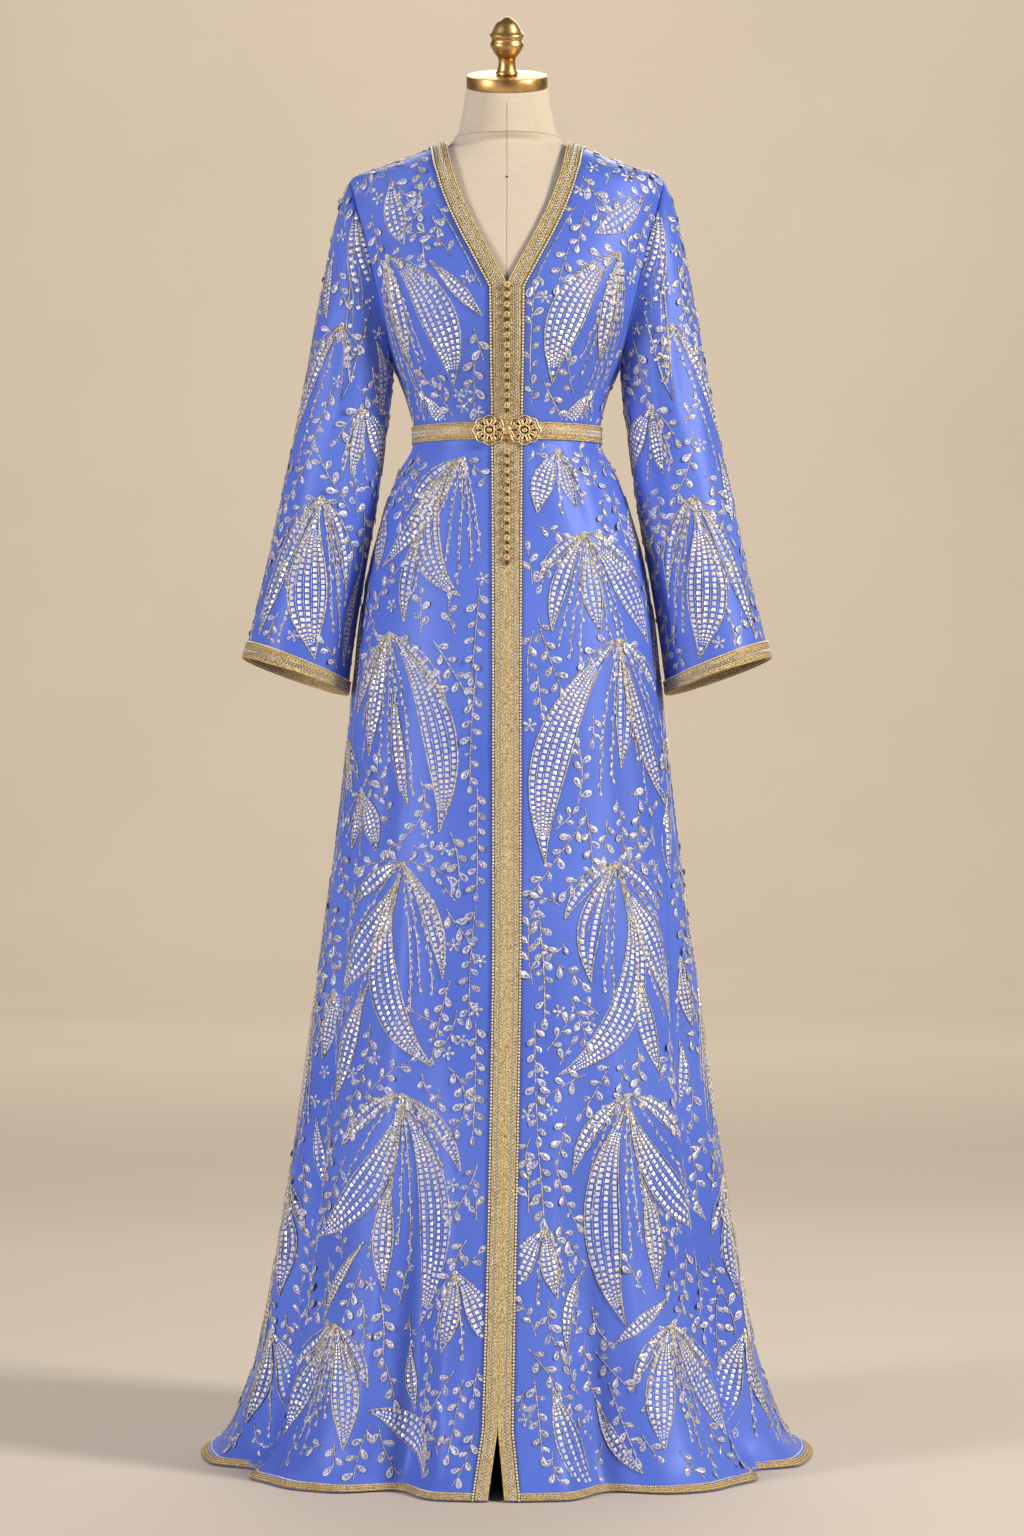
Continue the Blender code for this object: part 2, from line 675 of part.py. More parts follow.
def on_waist(across, height, out):
    """A point in front of the waist, by its distance along the curve and out from it."""
    half, front = column(BODY, "half_width", BELT_TOP), -column(BODY, "front_y", BELT_TOP)
    angle = np.arcsin(np.asarray(across) / half)
    normal = unit(np.stack([np.sin(angle) / half, -np.cos(angle) / front, 0 * angle], -1))
    place = np.stack([half * np.sin(angle), -front * np.cos(angle), 0 * angle], -1) + normal * out
    place[..., 2] = height
    return place


def build_buckle(gold):
    """Two eight-lobed plates that meet at the centre front, and a stone's setting over the join."""
    middle = (BELT_TOP + BELT_BOTTOM) / 2
    turn = np.arange(24) * 2 * math.pi / 24
    for side, name in ((-1, "left"), (1, "right")):
        outline = 1 + 0.06 * np.cos(8 * turn)
        centre = side * (BUCKLE_HALF_WIDTH * 1.06 + GAP)
        data = bmesh.new()
        loops = []
        for out, share in (
            (BUCKLE_OFFSET, 0.45), (BUCKLE_OFFSET, 0.97), (BUCKLE_OFFSET + BUCKLE_THICKNESS / 2, 1.0),
            (BUCKLE_OFFSET + BUCKLE_THICKNESS, 0.93), (BUCKLE_OFFSET + BUCKLE_THICKNESS, 0.45),
        ):  # fmt: skip
            across = centre + share * BUCKLE_HALF_WIDTH * outline * np.cos(turn)
            height = middle + share * BUCKLE_HALF_HEIGHT * outline * np.sin(turn)
            loops.append([data.verts.new(p) for p in on_waist(across, height, out)])
        for here, there in zip(loops, loops[1:]):
            for k in range(len(turn)):
                following = (k + 1) % len(turn)
                data.faces.new([here[k], here[following], there[following], there[k]])
        data.faces.new(loops[0][::-1])
        data.faces.new(loops[-1])
        finish_object(f"buckle_{name}", data, gold)
    stone = turned(
        "buckle_stone", (0, 0.0012, 0.0030, 0.0042), (0.0052, 0.0056, 0.0042, 0.0018), 16, gold
    )
    top = on_waist(np.zeros(1), middle, BUCKLE_OFFSET + BUCKLE_THICKNESS + 2 * GAP)[0]
    stone.data.transform(Matrix.Translation(Vector(top)) @ Matrix.Rotation(math.pi / 2, 4, "X"))


def build_buttons(gold):
    """Ball buttons over the join of the two front braids, left out where the buckle covers them."""
    radius = BUTTON_DIAMETER / 2
    middle, clear = (BELT_TOP + BELT_BOTTOM) / 2, BUCKLE_HALF_HEIGHT + radius + 0.001
    heights = np.arange(NECK_POINT - radius, BUTTON_LOWEST, -BUTTON_PITCH)
    heights = heights[np.abs(heights - middle) > clear]
    rows = np.array(sorted(row for row in FRONT_EDGE_ROWS + LOWER_ROWS if row <= NECK_POINT))
    angle = (opening_angle(rows, 1) + opening_angle(rows, -1)) / 2
    seats = on_body(angle, rows) + body_normals(angle, rows) * (2 * GAP + BRAID + radius)
    centres = np.stack([np.interp(heights, rows, axis) for axis in seats.T], -1)
    for number, centre in enumerate(centres, 1):
        data = bmesh.new()
        bmesh.ops.create_uvsphere(data, u_segments=7, v_segments=4, radius=radius)
        button = finish_object(f"button_{number:02d}", data, gold)
        button.location = centre
        button.rotation_euler.x = math.pi / 2


def form_rings(sides=26):
    """Rings of the dress form from its base to the top of its neck."""
    angle = np.arange(sides) * 2 * math.pi / sides
    rings = []
    heights = (
        FORM_BOTTOM, 0.870, 0.950, 1.040, 1.110, 1.170, 1.2200, 1.268, 1.300, 1.335, 1.370, 1.405, 1.440,
        1.475, 1.503, 1.521, 1.530, 1.537, 1.545, 1.553, 1.560, 1.567, 1.5725,
    )  # fmt: skip
    for height in heights:
        inset = CLOTH + FORM_CLEARANCE + column(FORM_INSET, "inset", height)
        level = np.full(sides, height)
        rings.append(on_body(angle, level, folded=False) - body_normals(angle, level) * inset)
    rings[0][:, 2] = FORM_BOTTOM
    for height, half, front, back, tilt in zip(*NECK.values()):
        middle = (front + back) / 2
        y = middle - (back - front) / 2 * np.cos(angle)
        z = height + (y - middle) * math.tan(math.radians(tilt))
        rings.append(np.stack([half * np.sin(angle), y, z], -1))
    rings.append(tilted(angle, CAP_RADIUS + GAP, -GAP))
    return rings


def tilted(angle, radius, up):
    """A ring square to the neck's sloping axis, a distance up it from the top of the neck."""
    x = radius * np.sin(angle)
    y = -radius * np.cos(angle)
    place = np.array(CAP_CENTRE)
    cos, sin = math.cos(CAP_TILT), math.sin(CAP_TILT)
    return place + np.stack([x, y * cos - up * sin, y * sin + up * cos], -1)


def build_form(linen, brass, steel):
    loft("form_torso", form_rings(), linen)
    turn = np.arange(32) * 2 * math.pi / 32
    edge = CAP_EDGE
    loft(
        "neck_cap",
        [
            tilted(turn, CAP_RADIUS - edge, 0.0),
            tilted(turn, CAP_RADIUS, edge),
            tilted(turn, CAP_RADIUS, CAP_THICKNESS - edge),
            tilted(turn, CAP_RADIUS - edge, CAP_THICKNESS),
        ],
        brass,
    )
    turn = np.arange(16) * 2 * math.pi / 16
    base = CAP_THICKNESS + GAP
    loft("finial", [tilted(turn, r, base + h) for h, r in zip(*FINIAL.values())], brass)
    turned("stand_pole", (BASE_THICKNESS + GAP, FORM_BOTTOM - GAP), (POLE_RADIUS,) * 2, 16, steel)
    turned(
        "stand_base",
        (0.0, 0.003, BASE_THICKNESS - 0.004, BASE_THICKNESS),
        (BASE_RADIUS - 0.003, BASE_RADIUS, BASE_RADIUS, BASE_RADIUS - 0.008),
        32,
        steel,
    )


def main():
    for old in list(bpy.data.objects):
        bpy.data.objects.remove(old)
    crepe = material("satin crepe", (0.085, 0.135, 0.720), 0.42)
    braid = material("gold braid", (0.560, 0.390, 0.130), 0.45, 0.6)
    gold = material("gilt metal", (0.640, 0.430, 0.140), 0.30, 1.0)
    linen = material("cream linen", (0.740, 0.630, 0.480), 0.85)
    brass = material("satin brass", (0.470, 0.300, 0.090), 0.28, 1.0)
    steel = material("coated steel", (0.090, 0.085, 0.080), 0.50)
    build_fronts(crepe, braid)
    build_back(crepe, braid)
    build_sleeves(crepe, braid)
    build_belt(braid)
    build_buckle(gold)
    build_buttons(gold)
    build_form(linen, brass, steel)


main()
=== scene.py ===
import math
from functools import lru_cache

import bmesh
import bpy
import numpy as np
from mathutils import Matrix, Vector


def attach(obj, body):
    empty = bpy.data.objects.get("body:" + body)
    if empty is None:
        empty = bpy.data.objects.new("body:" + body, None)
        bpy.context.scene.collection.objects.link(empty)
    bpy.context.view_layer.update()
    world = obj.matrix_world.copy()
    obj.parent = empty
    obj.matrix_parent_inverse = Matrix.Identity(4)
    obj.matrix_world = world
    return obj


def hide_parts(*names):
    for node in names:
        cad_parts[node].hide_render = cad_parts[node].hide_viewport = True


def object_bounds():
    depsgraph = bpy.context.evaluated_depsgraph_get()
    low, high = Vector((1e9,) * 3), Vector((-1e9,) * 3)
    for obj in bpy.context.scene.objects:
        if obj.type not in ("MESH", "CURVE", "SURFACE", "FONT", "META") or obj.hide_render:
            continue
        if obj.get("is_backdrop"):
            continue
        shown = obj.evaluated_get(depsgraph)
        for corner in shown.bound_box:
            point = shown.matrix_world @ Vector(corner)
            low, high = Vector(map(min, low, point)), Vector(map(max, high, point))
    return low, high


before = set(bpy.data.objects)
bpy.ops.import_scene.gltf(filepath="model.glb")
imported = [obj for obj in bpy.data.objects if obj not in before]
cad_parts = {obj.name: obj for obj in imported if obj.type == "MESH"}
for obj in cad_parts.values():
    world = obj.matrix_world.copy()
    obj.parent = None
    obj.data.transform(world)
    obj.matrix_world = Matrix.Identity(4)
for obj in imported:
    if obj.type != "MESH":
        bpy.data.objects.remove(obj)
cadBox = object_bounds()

# A Moroccan kaftan worn by a limbless dress form. Metres, +Z up, the front faces -Y.
# A point of the garment is an angle round the body, from the centre front towards +X, and a height.

print("camera, light and floor")

camera = {"x": 0.006, "height": 0.824, "distance": 5.0, "lens": 97.66, "sensor": 36.0}
studio = {
    "floor": ("#CFC2B0", "#D8CBB9"), "room": "#F4EEE8", "roomStrength": 0.18,
    "halfFloor": 14.0, "flatTo": 9.0, "sweepRadius": 4.0, "wallTop": 9.0,
    "lamps": (  # place, aimed at, size, watts, colour
        ((3.7, -2.2, 3.0), (0.0, 0.0, 1.0), (0.9, 1.8), 212.0, "#FFFAF4"),
        ((-3.6, -2.5, 1.9), (0.0, 0.0, 0.85), (0.9, 2.2), 116.0, "#FBF8FF"),
        ((0.4, 2.4, 2.9), (0.0, 0.0, 1.1), (2.4, 1.2), 30.0, "#FFFFFF"),
        ((0.0, 6.2, 6.8), (0.0, 13.0, 3.6), (6.0, 1.5), 375.0, "#FFFAF2"),
        ((0.0, 4.5, 6.0), (0.0, 7.0, 0.0), (6.0, 2.0), 165.0, "#FFFAF2"),
    ),
}


def linearChannel(value):
    return value / 12.92 if value <= 0.04045 else ((value + 0.055) / 1.055) ** 2.4


def colour(code):  # sRGB hex to linear
    return tuple(linearChannel(int(code[k:k + 2], 16) / 255) for k in (1, 3, 5)) + (1.0,)


def link(obj):
    bpy.context.scene.collection.objects.link(obj)
    return obj


def plug(tree, node, sockets):  # each with its value, or with the output that feeds it
    for name, value in sockets.items():
        if isinstance(value, bpy.types.NodeSocket):
            tree.links.new(value, node.inputs[name])
        else:
            node.inputs[name].default_value = value
    return node


def addNode(tree, kind, settings=None, sockets=None):
    node = tree.nodes.new(kind)
    for name, value in (settings or {}).items():
        setattr(node, name, value)
    return plug(tree, node, sockets or {})


def aim(obj, place, target):
    turn = (Vector(target) - Vector(place)).to_track_quat("-Z", "Y")
    obj.matrix_world = Matrix.Translation(place) @ turn.to_matrix().to_4x4()


def makeStudio():
    data = bpy.data.cameras.new("camera")
    data.sensor_fit = "VERTICAL"  # the frame is 1024 wide and 1536 high
    data.sensor_height = camera["sensor"]
    data.lens = camera["lens"]
    data.clip_end = 60
    view = link(bpy.data.objects.new("camera", data))
    place = (camera["x"], -camera["distance"], camera["height"])
    aim(view, place, (camera["x"], 0, camera["height"]))
    bpy.context.scene.camera = view
    bpy.context.scene.view_settings.view_transform = "Standard"  # keeps the dyed blue as saturated as it is
    for number, (place, target, size, watts, tint) in enumerate(studio["lamps"]):
        lamp = bpy.data.lights.new(f"lamp{number}", "AREA")
        lamp.shape = "RECTANGLE"
        lamp.size, lamp.size_y = size
        lamp.energy = watts
        lamp.color = colour(tint)[:3]
        light = link(bpy.data.objects.new(f"lamp{number}", lamp))
        light.visible_camera = False
        aim(light, place, target)
    world = bpy.data.worlds.new("room")
    world.use_nodes = True
    plug(world.node_tree, world.node_tree.nodes["Background"],
         {"Color": colour(studio["room"]), "Strength": studio["roomStrength"]})
    bpy.context.scene.world = world


def makeMaterial(name):
    made = bpy.data.materials.new(name)
    made.use_nodes = True
    tree = made.node_tree
    return made, tree, tree.nodes["Principled BSDF"]


# Matt painted floor that sweeps up behind: even and pale, with hardly any sheen
def makeFloor():
    made, tree, shader = makeMaterial("matt studio paint")
    place = addNode(tree, "ShaderNodeTexCoord").outputs["Object"]
    cloud = addNode(tree, "ShaderNodeTexNoise", None, {"Vector": place, "Scale": 1.2, "Detail": 3.0})
    ramp = addNode(tree, "ShaderNodeValToRGB", None, {"Fac": cloud.outputs["Fac"]})
    first, last = ramp.color_ramp.elements
    first.color, last.color = map(colour, studio["floor"])
    plug(tree, shader, {"Base Color": ramp.outputs["Color"], "Roughness": 0.75})
    half, flat, sweep = studio["halfFloor"], studio["flatTo"], studio["sweepRadius"]
    bend = [(flat + sweep * math.sin(t), sweep - sweep * math.cos(t)) for t in np.linspace(0, math.pi / 2, 13)]
    profile = [(-half, 0.0), *bend, (flat + sweep, studio["wallTop"])]
    points = [(x, y, z) for y, z in profile for x in (-half, half)]
    faces = [(2 * k, 2 * k + 1, 2 * k + 3, 2 * k + 2) for k in range(len(profile) - 1)]
    mesh = bpy.data.meshes.new("floor")
    mesh.from_pydata(points, [], faces)
    mesh.shade_smooth()
    mesh.materials.append(made)
    link(bpy.data.objects.new("floor", mesh))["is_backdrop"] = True


makeStudio()
makeFloor()

print("finishes")


# Polyester satin-back crepe: a soft pebbled weave, silky where the light grazes it
def satinCrepeFinish():
    made, tree, shader = makeMaterial("polyester satin crepe")
    place = addNode(tree, "ShaderNodeTexCoord").outputs["Object"]
    cloud = addNode(tree, "ShaderNodeTexNoise", None, {"Vector": place, "Scale": 5.0, "Detail": 4.0})
    ramp = addNode(tree, "ShaderNodeValToRGB", None, {"Fac": cloud.outputs["Fac"]})
    first, last = ramp.color_ramp.elements
    first.position, last.position = 0.3, 0.7
    first.color, last.color = colour("#506BD0"), colour("#637EE0")
    # crepe grain is 0.3 mm; drawn at 0.9 mm so that it shows
    grain = addNode(tree, "ShaderNodeTexNoise", None, {"Vector": place, "Scale": 1100.0, "Detail": 2.0})
    slub = addNode(tree, "ShaderNodeMapping", None, {"Vector": place, "Scale": (900.0, 900.0, 90.0)})
    warp = addNode(tree, "ShaderNodeTexNoise", None, {"Vector": slub.outputs[0], "Scale": 1.0, "Detail": 1.0})
    both = addNode(tree, "ShaderNodeMath", {"operation": "ADD"}, {0: grain.outputs["Fac"], 1: warp.outputs["Fac"]})
    bump = addNode(tree, "ShaderNodeBump", None, {"Height": both.outputs[0], "Strength": 0.22, "Distance": 0.0003})
    plug(tree, shader, {
        "Base Color": ramp.outputs["Color"], "Normal": bump.outputs["Normal"], "Roughness": 0.40,
        "Specular IOR Level": 0.5, "Specular Tint": colour("#AEBBFF"),
        "Sheen Weight": 0.12, "Sheen Roughness": 0.35, "Sheen Tint": colour("#B9C4FF"),
    })
    return made


# Wound metal thread over a core: the bump makes the turns, with darker hollows between them; the colour is flecked
# pale and dark along it, partly the thread's own tone and partly painted glints and painted shade
def threadFinish(name, dark, middle, light, turn, metallic, roughness):
    made, tree, shader = makeMaterial(name)
    along = addNode(tree, "ShaderNodeAttribute", {"attribute_name": "along"}).outputs["Fac"]
    place = addNode(tree, "ShaderNodeTexCoord").outputs["Object"]
    fleck = addNode(tree, "ShaderNodeTexNoise", {"noise_dimensions": "4D"},
                    {"Vector": place, "W": along, "Scale": 1.0 / turn, "Detail": 1.5})
    ramp = addNode(tree, "ShaderNodeValToRGB", None, {"Fac": fleck.outputs["Fac"]})
    first, last = ramp.color_ramp.elements
    first.position, last.position = 0.34, 0.66
    first.color, last.color = colour(dark), colour(light)
    ramp.color_ramp.elements.new(0.5).color = colour(middle)
    turns = addNode(tree, "ShaderNodeMath", {"operation": "MULTIPLY"}, {0: along, 1: 2 * math.pi / turn})
    wave = addNode(tree, "ShaderNodeMath", {"operation": "SINE"}, {0: turns.outputs[0]})
    bump = addNode(tree, "ShaderNodeBump", None, {"Height": wave.outputs[0], "Strength": 0.5, "Distance": 0.0003})
    plug(tree, shader, {"Base Color": ramp.outputs["Color"], "Normal": bump.outputs["Normal"], "Metallic": metallic,
                        "Roughness": roughness})
    return made


# Vacuum-plated plastic: mirror-bright flakes, each of its own tint
def sequinFinish():
    made, tree, shader = makeMaterial("plated sequin")
    shade = addNode(tree, "ShaderNodeAttribute", {"attribute_name": "shade"}).outputs["Fac"]
    ramp = addNode(tree, "ShaderNodeValToRGB", None, {"Fac": shade})
    first, last = ramp.color_ramp.elements
    first.color, last.color = colour("#CFC8BE"), colour("#FFFFFF")
    ramp.color_ramp.elements.new(0.4).color = colour("#ECE9E4")
    plug(tree, shader, {"Base Color": ramp.outputs["Color"], "Metallic": 0.35, "Roughness": 0.28})
    return made


# A couched loop of silver cord round cut beads, with the dyed cloth showing between
def leafletFinish():
    made, tree, shader = makeMaterial("beaded leaflet")
    edge = addNode(tree, "ShaderNodeAttribute", {"attribute_name": "edge"}).outputs["Fac"]
    shade = addNode(tree, "ShaderNodeAttribute", {"attribute_name": "shade"}).outputs["Fac"]
    place = addNode(tree, "ShaderNodeTexCoord").outputs["Object"]
    beads = addNode(tree, "ShaderNodeTexVoronoi", None, {"Vector": place, "Scale": 420.0})  # 2.4 mm beads
    bright = addNode(tree, "ShaderNodeValToRGB", None, {"Fac": beads.outputs["Distance"]})
    first, last = bright.color_ramp.elements
    first.color, last.color = colour("#F4F2EE"), colour("#6C7DC8")
    first.position, last.position = 0.30, 0.55
    cord = addNode(tree, "ShaderNodeValToRGB", None, {"Fac": shade})
    first, last = cord.color_ramp.elements
    first.color, last.color = colour("#A79C88"), colour("#DDD6C8")
    rim = addNode(tree, "ShaderNodeMapRange", None, {"Value": edge, "From Min": 0.46, "From Max": 0.60})
    both = addNode(tree, "ShaderNodeMix", {"data_type": "RGBA"},
                   {0: rim.outputs[0], 6: bright.outputs[0], 7: cord.outputs[0]})
    bump = addNode(tree, "ShaderNodeBump", {"invert": True},
                   {"Height": beads.outputs["Distance"], "Strength": 0.6, "Distance": 0.0006})
    plug(tree, shader, {"Base Color": both.outputs[2], "Normal": bump.outputs["Normal"], "Metallic": 0.15,
                        "Roughness": 0.36})
    return made


# Solid metal with a fine uneven polish
def metalFinish(name, code, dark, roughness, grain):
    made, tree, shader = makeMaterial(name)
    place = addNode(tree, "ShaderNodeTexCoord").outputs["Object"]
    noise = addNode(tree, "ShaderNodeTexNoise", None, {"Vector": place, "Scale": 1.0 / grain, "Detail": 4.0})
    ramp = addNode(tree, "ShaderNodeValToRGB", None, {"Fac": noise.outputs["Fac"]})
    first, last = ramp.color_ramp.elements
    first.position, last.position = 0.3, 0.65
    first.color, last.color = colour(dark), colour(code)
    rough = addNode(tree, "ShaderNodeMapRange", None,
                    {"Value": noise.outputs["Fac"], "To Min": roughness * 0.8, "To Max": roughness * 1.35})
    bump = addNode(tree, "ShaderNodeBump", None,
                   {"Height": noise.outputs["Fac"], "Strength": 0.08, "Distance": 0.0002})
    plug(tree, shader, {"Base Color": ramp.outputs["Color"], "Normal": bump.outputs["Normal"], "Metallic": 1.0,
                        "Roughness": rough.outputs[0]})
    return made


# Woven linen stretched over papier-mache: matt, with crossing threads and slubs
def linenFinish():
    made, tree, shader = makeMaterial("woven linen")
    place = addNode(tree, "ShaderNodeTexCoord").outputs["Object"]
    height = None
    for scale in ((40.0, 40.0, 900.0), (900.0, 900.0, 40.0)):  # 1.1 mm threads, drawn coarse enough to show
        stretched = addNode(tree, "ShaderNodeMapping", None, {"Vector": place, "Scale": scale})
        thread = addNode(tree, "ShaderNodeTexNoise", None,
                         {"Vector": stretched.outputs[0], "Scale": 1.0, "Detail": 2.0})
        height = thread.outputs["Fac"] if height is None else addNode(
            tree, "ShaderNodeMath", {"operation": "MAXIMUM"}, {0: height, 1: thread.outputs["Fac"]}).outputs[0]
    ramp = addNode(tree, "ShaderNodeValToRGB", None, {"Fac": height})
    first, last = ramp.color_ramp.elements
    first.position, last.position = 0.4, 0.7
    first.color, last.color = colour("#D2C3AB"), colour("#DBCDB7")
    bump = addNode(tree, "ShaderNodeBump", None, {"Height": height, "Strength": 0.15, "Distance": 0.0004})
    plug(tree, shader, {"Base Color": ramp.outputs["Color"], "Normal": bump.outputs["Normal"], "Roughness": 0.88,
                        "Sheen Weight": 0.15})
    return made


# Powder-coated steel: dark, even, faintly pebbled
def coatedSteelFinish():
    made, tree, shader = makeMaterial("powder coated steel")
    place = addNode(tree, "ShaderNodeTexCoord").outputs["Object"]
    pebble = addNode(tree, "ShaderNodeTexNoise", None, {"Vector": place, "Scale": 900.0, "Detail": 2.0})
    ramp = addNode(tree, "ShaderNodeValToRGB", None, {"Fac": pebble.outputs["Fac"]})
    first, last = ramp.color_ramp.elements
    first.color, last.color = colour("#3A3835"), colour("#4C4A46")
    bump = addNode(tree, "ShaderNodeBump", None,
                   {"Height": pebble.outputs["Fac"], "Strength": 0.3, "Distance": 0.0003})
    plug(tree, shader, {"Base Color": ramp.outputs["Color"], "Normal": bump.outputs["Normal"], "Roughness": 0.5})
    return made


satinCrepe = satinCrepeFinish()
goldCord = threadFinish("gilt wound cord", "#A8894F", "#DFC68A", "#FFF6D4", 0.0016, 0.45, 0.4)
goldGround = threadFinish("gilt woven braid", "#77602F", "#AD8D50", "#D6B878", 0.0011, 0.35, 0.52)
# Dark thread that stands for shade: painted shade in the braid's gaps and between the buttons
paintedShadeCord = threadFinish("painted shade thread", "#2A2013", "#3D301D", "#5B4A2E", 0.0016, 0.2, 0.6)
leafletBeads = leafletFinish()
silverCord = threadFinish("silvered thread", "#C2BEB8", "#F0EDE8", "#FFFFFF", 0.0016, 0.2, 0.34)
champagneCord = threadFinish("champagne couched cord", "#80755F", "#C4B89F", "#F2ECDF", 0.0030, 0.30, 0.40)
sequinPlate = sequinFinish()
giltMetal = metalFinish("gilt brass casting", "#FFEABB", "#E4C484", 0.40, 0.004)
# A dark brass for the plate behind the buckle's wires: painted shade in the openings
paintedShadeBrass = metalFinish("painted-shade brass", "#4A3C24", "#2E2415", 0.6, 0.004)
satinBrass = metalFinish("satin turned brass", "#DDB878", "#B58C56", 0.36, 0.012)
creamLinen = linenFinish()
seamThread = threadFinish("linen seam thread", "#A8977C", "#B5A488", "#C2B297", 0.0030, 0.0, 0.8)
coatedSteel = coatedSteelFinish()

print("cloth shape")


def table(columns, *rows):
    return dict(zip(columns.split(), np.array(rows, float).T))


cloth = {
    "thickness": 0.0012, "hem": 0.0018, "seam": 0.0003,
    "shoulderNeck": 1.574, "shoulderTip": 1.530, "underarm": 1.300, "neckPoint": 1.393, "backNeck": 1.556,
    "slitTop": 0.075, "slitWidth": 0.018, "hemDrift": 0.012, "driftTop": 0.62, "driftFall": 1.3, "foldFall": 1.6,
    "frontScoop": 26.0, "backScoop": 29.0, "armholeSteps": 10,
    "row": 0.014, "columns": 44, "upperRows": 40,
    "sleeveAround": 56, "sleeveRows": 61, "sleeveClear": 0.0007,  # the sleeve's end off the panels
}
gap = cloth["seam"]  # also between the cloth and what lies on it
# Cross-sections: half width, and y at the front, side and back
body = table(
    "height halfWidth frontY sideY backY",
    (0.0000, 0.3715, -0.331, 0.038, 0.340), (0.0100, 0.3530, -0.322, 0.036, 0.332),
    (0.0350, 0.3325, -0.308, 0.032, 0.318), (0.0650, 0.3205, -0.297, 0.029, 0.306),
    (0.1250, 0.3005, -0.279, 0.024, 0.287), (0.2450, 0.2770, -0.250, 0.018, 0.260),
    (0.4250, 0.2480, -0.213, 0.011, 0.226), (0.6050, 0.2235, -0.181, 0.006, 0.195),
    (0.7850, 0.1998, -0.153, 0.003, 0.167), (0.9050, 0.1868, -0.137, 0.002, 0.151),
    (1.0200, 0.1735, -0.123, 0.001, 0.137), (1.1150, 0.1530, -0.109, 0.000, 0.115),
    (1.1700, 0.1345, -0.098, 0.000, 0.092), (1.2200, 0.1110, -0.089, 0.000, 0.079),
    (1.2660, 0.1200, -0.099, 0.000, 0.086), (1.3000, 0.1350, -0.111, 0.000, 0.093),
    (1.3600, 0.1605, -0.120, 0.001, 0.100), (1.4070, 0.1755, -0.115, 0.002, 0.102),
    (1.4500, 0.1845, -0.102, 0.003, 0.099), (1.5000, 0.1900, -0.085, 0.004, 0.089),
    (1.5200, 0.1895, -0.078, 0.004, 0.083), (1.5300, 0.1870, -0.074, 0.004, 0.080),
    (1.5450, 0.1480, -0.068, 0.004, 0.073), (1.5600, 0.1088, -0.062, 0.004, 0.067),
    (1.5740, 0.0720, -0.058, 0.004, 0.061),
)
# Folds that run up from the hem: a trough for a negative depth
folds = table(
    "angle halfWidth depth top",
    (-164, 11, -0.022, 0.95), (-141, 11, -0.027, 0.80), (-117, 11, -0.025, 1.00), (-63, 10, -0.036, 1.02),
    (-41, 9, 0.008, 0.50), (-23, 11, -0.046, 0.60), (21, 11, -0.043, 0.66), (38, 9, 0.010, 0.46),
    (61, 10, -0.038, 1.00), (113, 11, -0.026, 0.90), (138, 12, -0.027, 1.02), (166, 11, -0.022, 0.84),
)
# Shorter creases: where each is, how far it reaches up and down, and its lean in degrees a metre
creases = table(
    "angle halfWidth depth middle reach lean",
    (-34, 7, -0.0022, 1.150, 0.075, 60), (-17, 5, -0.0016, 1.165, 0.060, 30), (16, 5, -0.0017, 1.160, 0.064, -34),
    (33, 7, -0.0024, 1.148, 0.082, -66), (52, 7, -0.0022, 1.130, 0.090, -50), (-55, 7, -0.0023, 1.125, 0.088, 48),
    (-44, 7, -0.0024, 1.300, 0.085, -70), (-24, 6, -0.0018, 1.285, 0.060, -50), (25, 6, -0.0019, 1.288, 0.064, 52),
    (43, 7, -0.0026, 1.304, 0.088, 72), (64, 8, -0.0026, 1.318, 0.100, 60), (-65, 8, -0.0024, 1.314, 0.095, -62),
    (-88, 8, -0.0030, 1.150, 0.100, 0), (88, 8, -0.0028, 1.155, 0.095, 0), (-80, 7, -0.0030, 0.860, 0.260, 14),
    (80, 7, -0.0032, 0.840, 0.280, -14), (-46, 8, -0.0034, 0.760, 0.250, 10), (45, 8, -0.0036, 0.740, 0.270, -12),
    (-33, 6, 0.0026, 0.560, 0.230, 6), (31, 6, 0.0028, 0.600, 0.220, -6), (-12, 6, -0.0020, 0.480, 0.220, 4),
    (11, 5, -0.0018, 0.520, 0.240, -4), (-150, 8, -0.0026, 1.150, 0.090, -30), (-126, 8, -0.0028, 1.140, 0.100, -44),
    (128, 8, -0.0026, 1.145, 0.096, 46), (152, 8, -0.0024, 1.155, 0.086, 30), (-106, 8, -0.0026, 1.310, 0.100, 40),
    (-136, 9, -0.0032, 1.300, 0.100, 50), (138, 9, -0.0030, 1.296, 0.105, -52), (108, 8, -0.0026, 1.312, 0.095, -40),
    (160, 8, -0.0028, 1.290, 0.080, -30), (-159, 8, -0.0028, 1.292, 0.084, 30), (-152, 7, 0.0034, 0.620, 0.280, 6),
    (152, 7, 0.0032, 0.580, 0.260, -6), (-100, 7, -0.0036, 0.700, 0.260, -8), (100, 7, -0.0034, 0.720, 0.250, 8),
    (-128, 7, 0.0032, 0.500, 0.240, 6), (126, 7, 0.0034, 0.540, 0.260, -6), (178, 6, -0.0028, 0.760, 0.260, 0),
    (-30, 5, 0.0040, 0.180, 0.150, 10), (29, 5, 0.0042, 0.200, 0.160, -10), (-50, 5, -0.0060, 0.160, 0.150, 8),
    (49, 5, -0.0058, 0.180, 0.150, -8), (-12, 5, -0.0050, 0.110, 0.120, 10), (-74, 6, 0.0044, 0.240, 0.190, 6),
    (73, 6, 0.0046, 0.220, 0.180, -6), (92, 6, -0.0060, 0.240, 0.200, 0), (-93, 6, -0.0058, 0.260, 0.210, 0),
)
neckline = table(
    "height halfWidth",
    (1.393, 0.0000), (1.430, 0.0195), (1.465, 0.0375), (1.500, 0.0530), (1.533, 0.0640),
    (1.556, 0.0690), (1.569, 0.0712), (1.574, 0.0720),
)
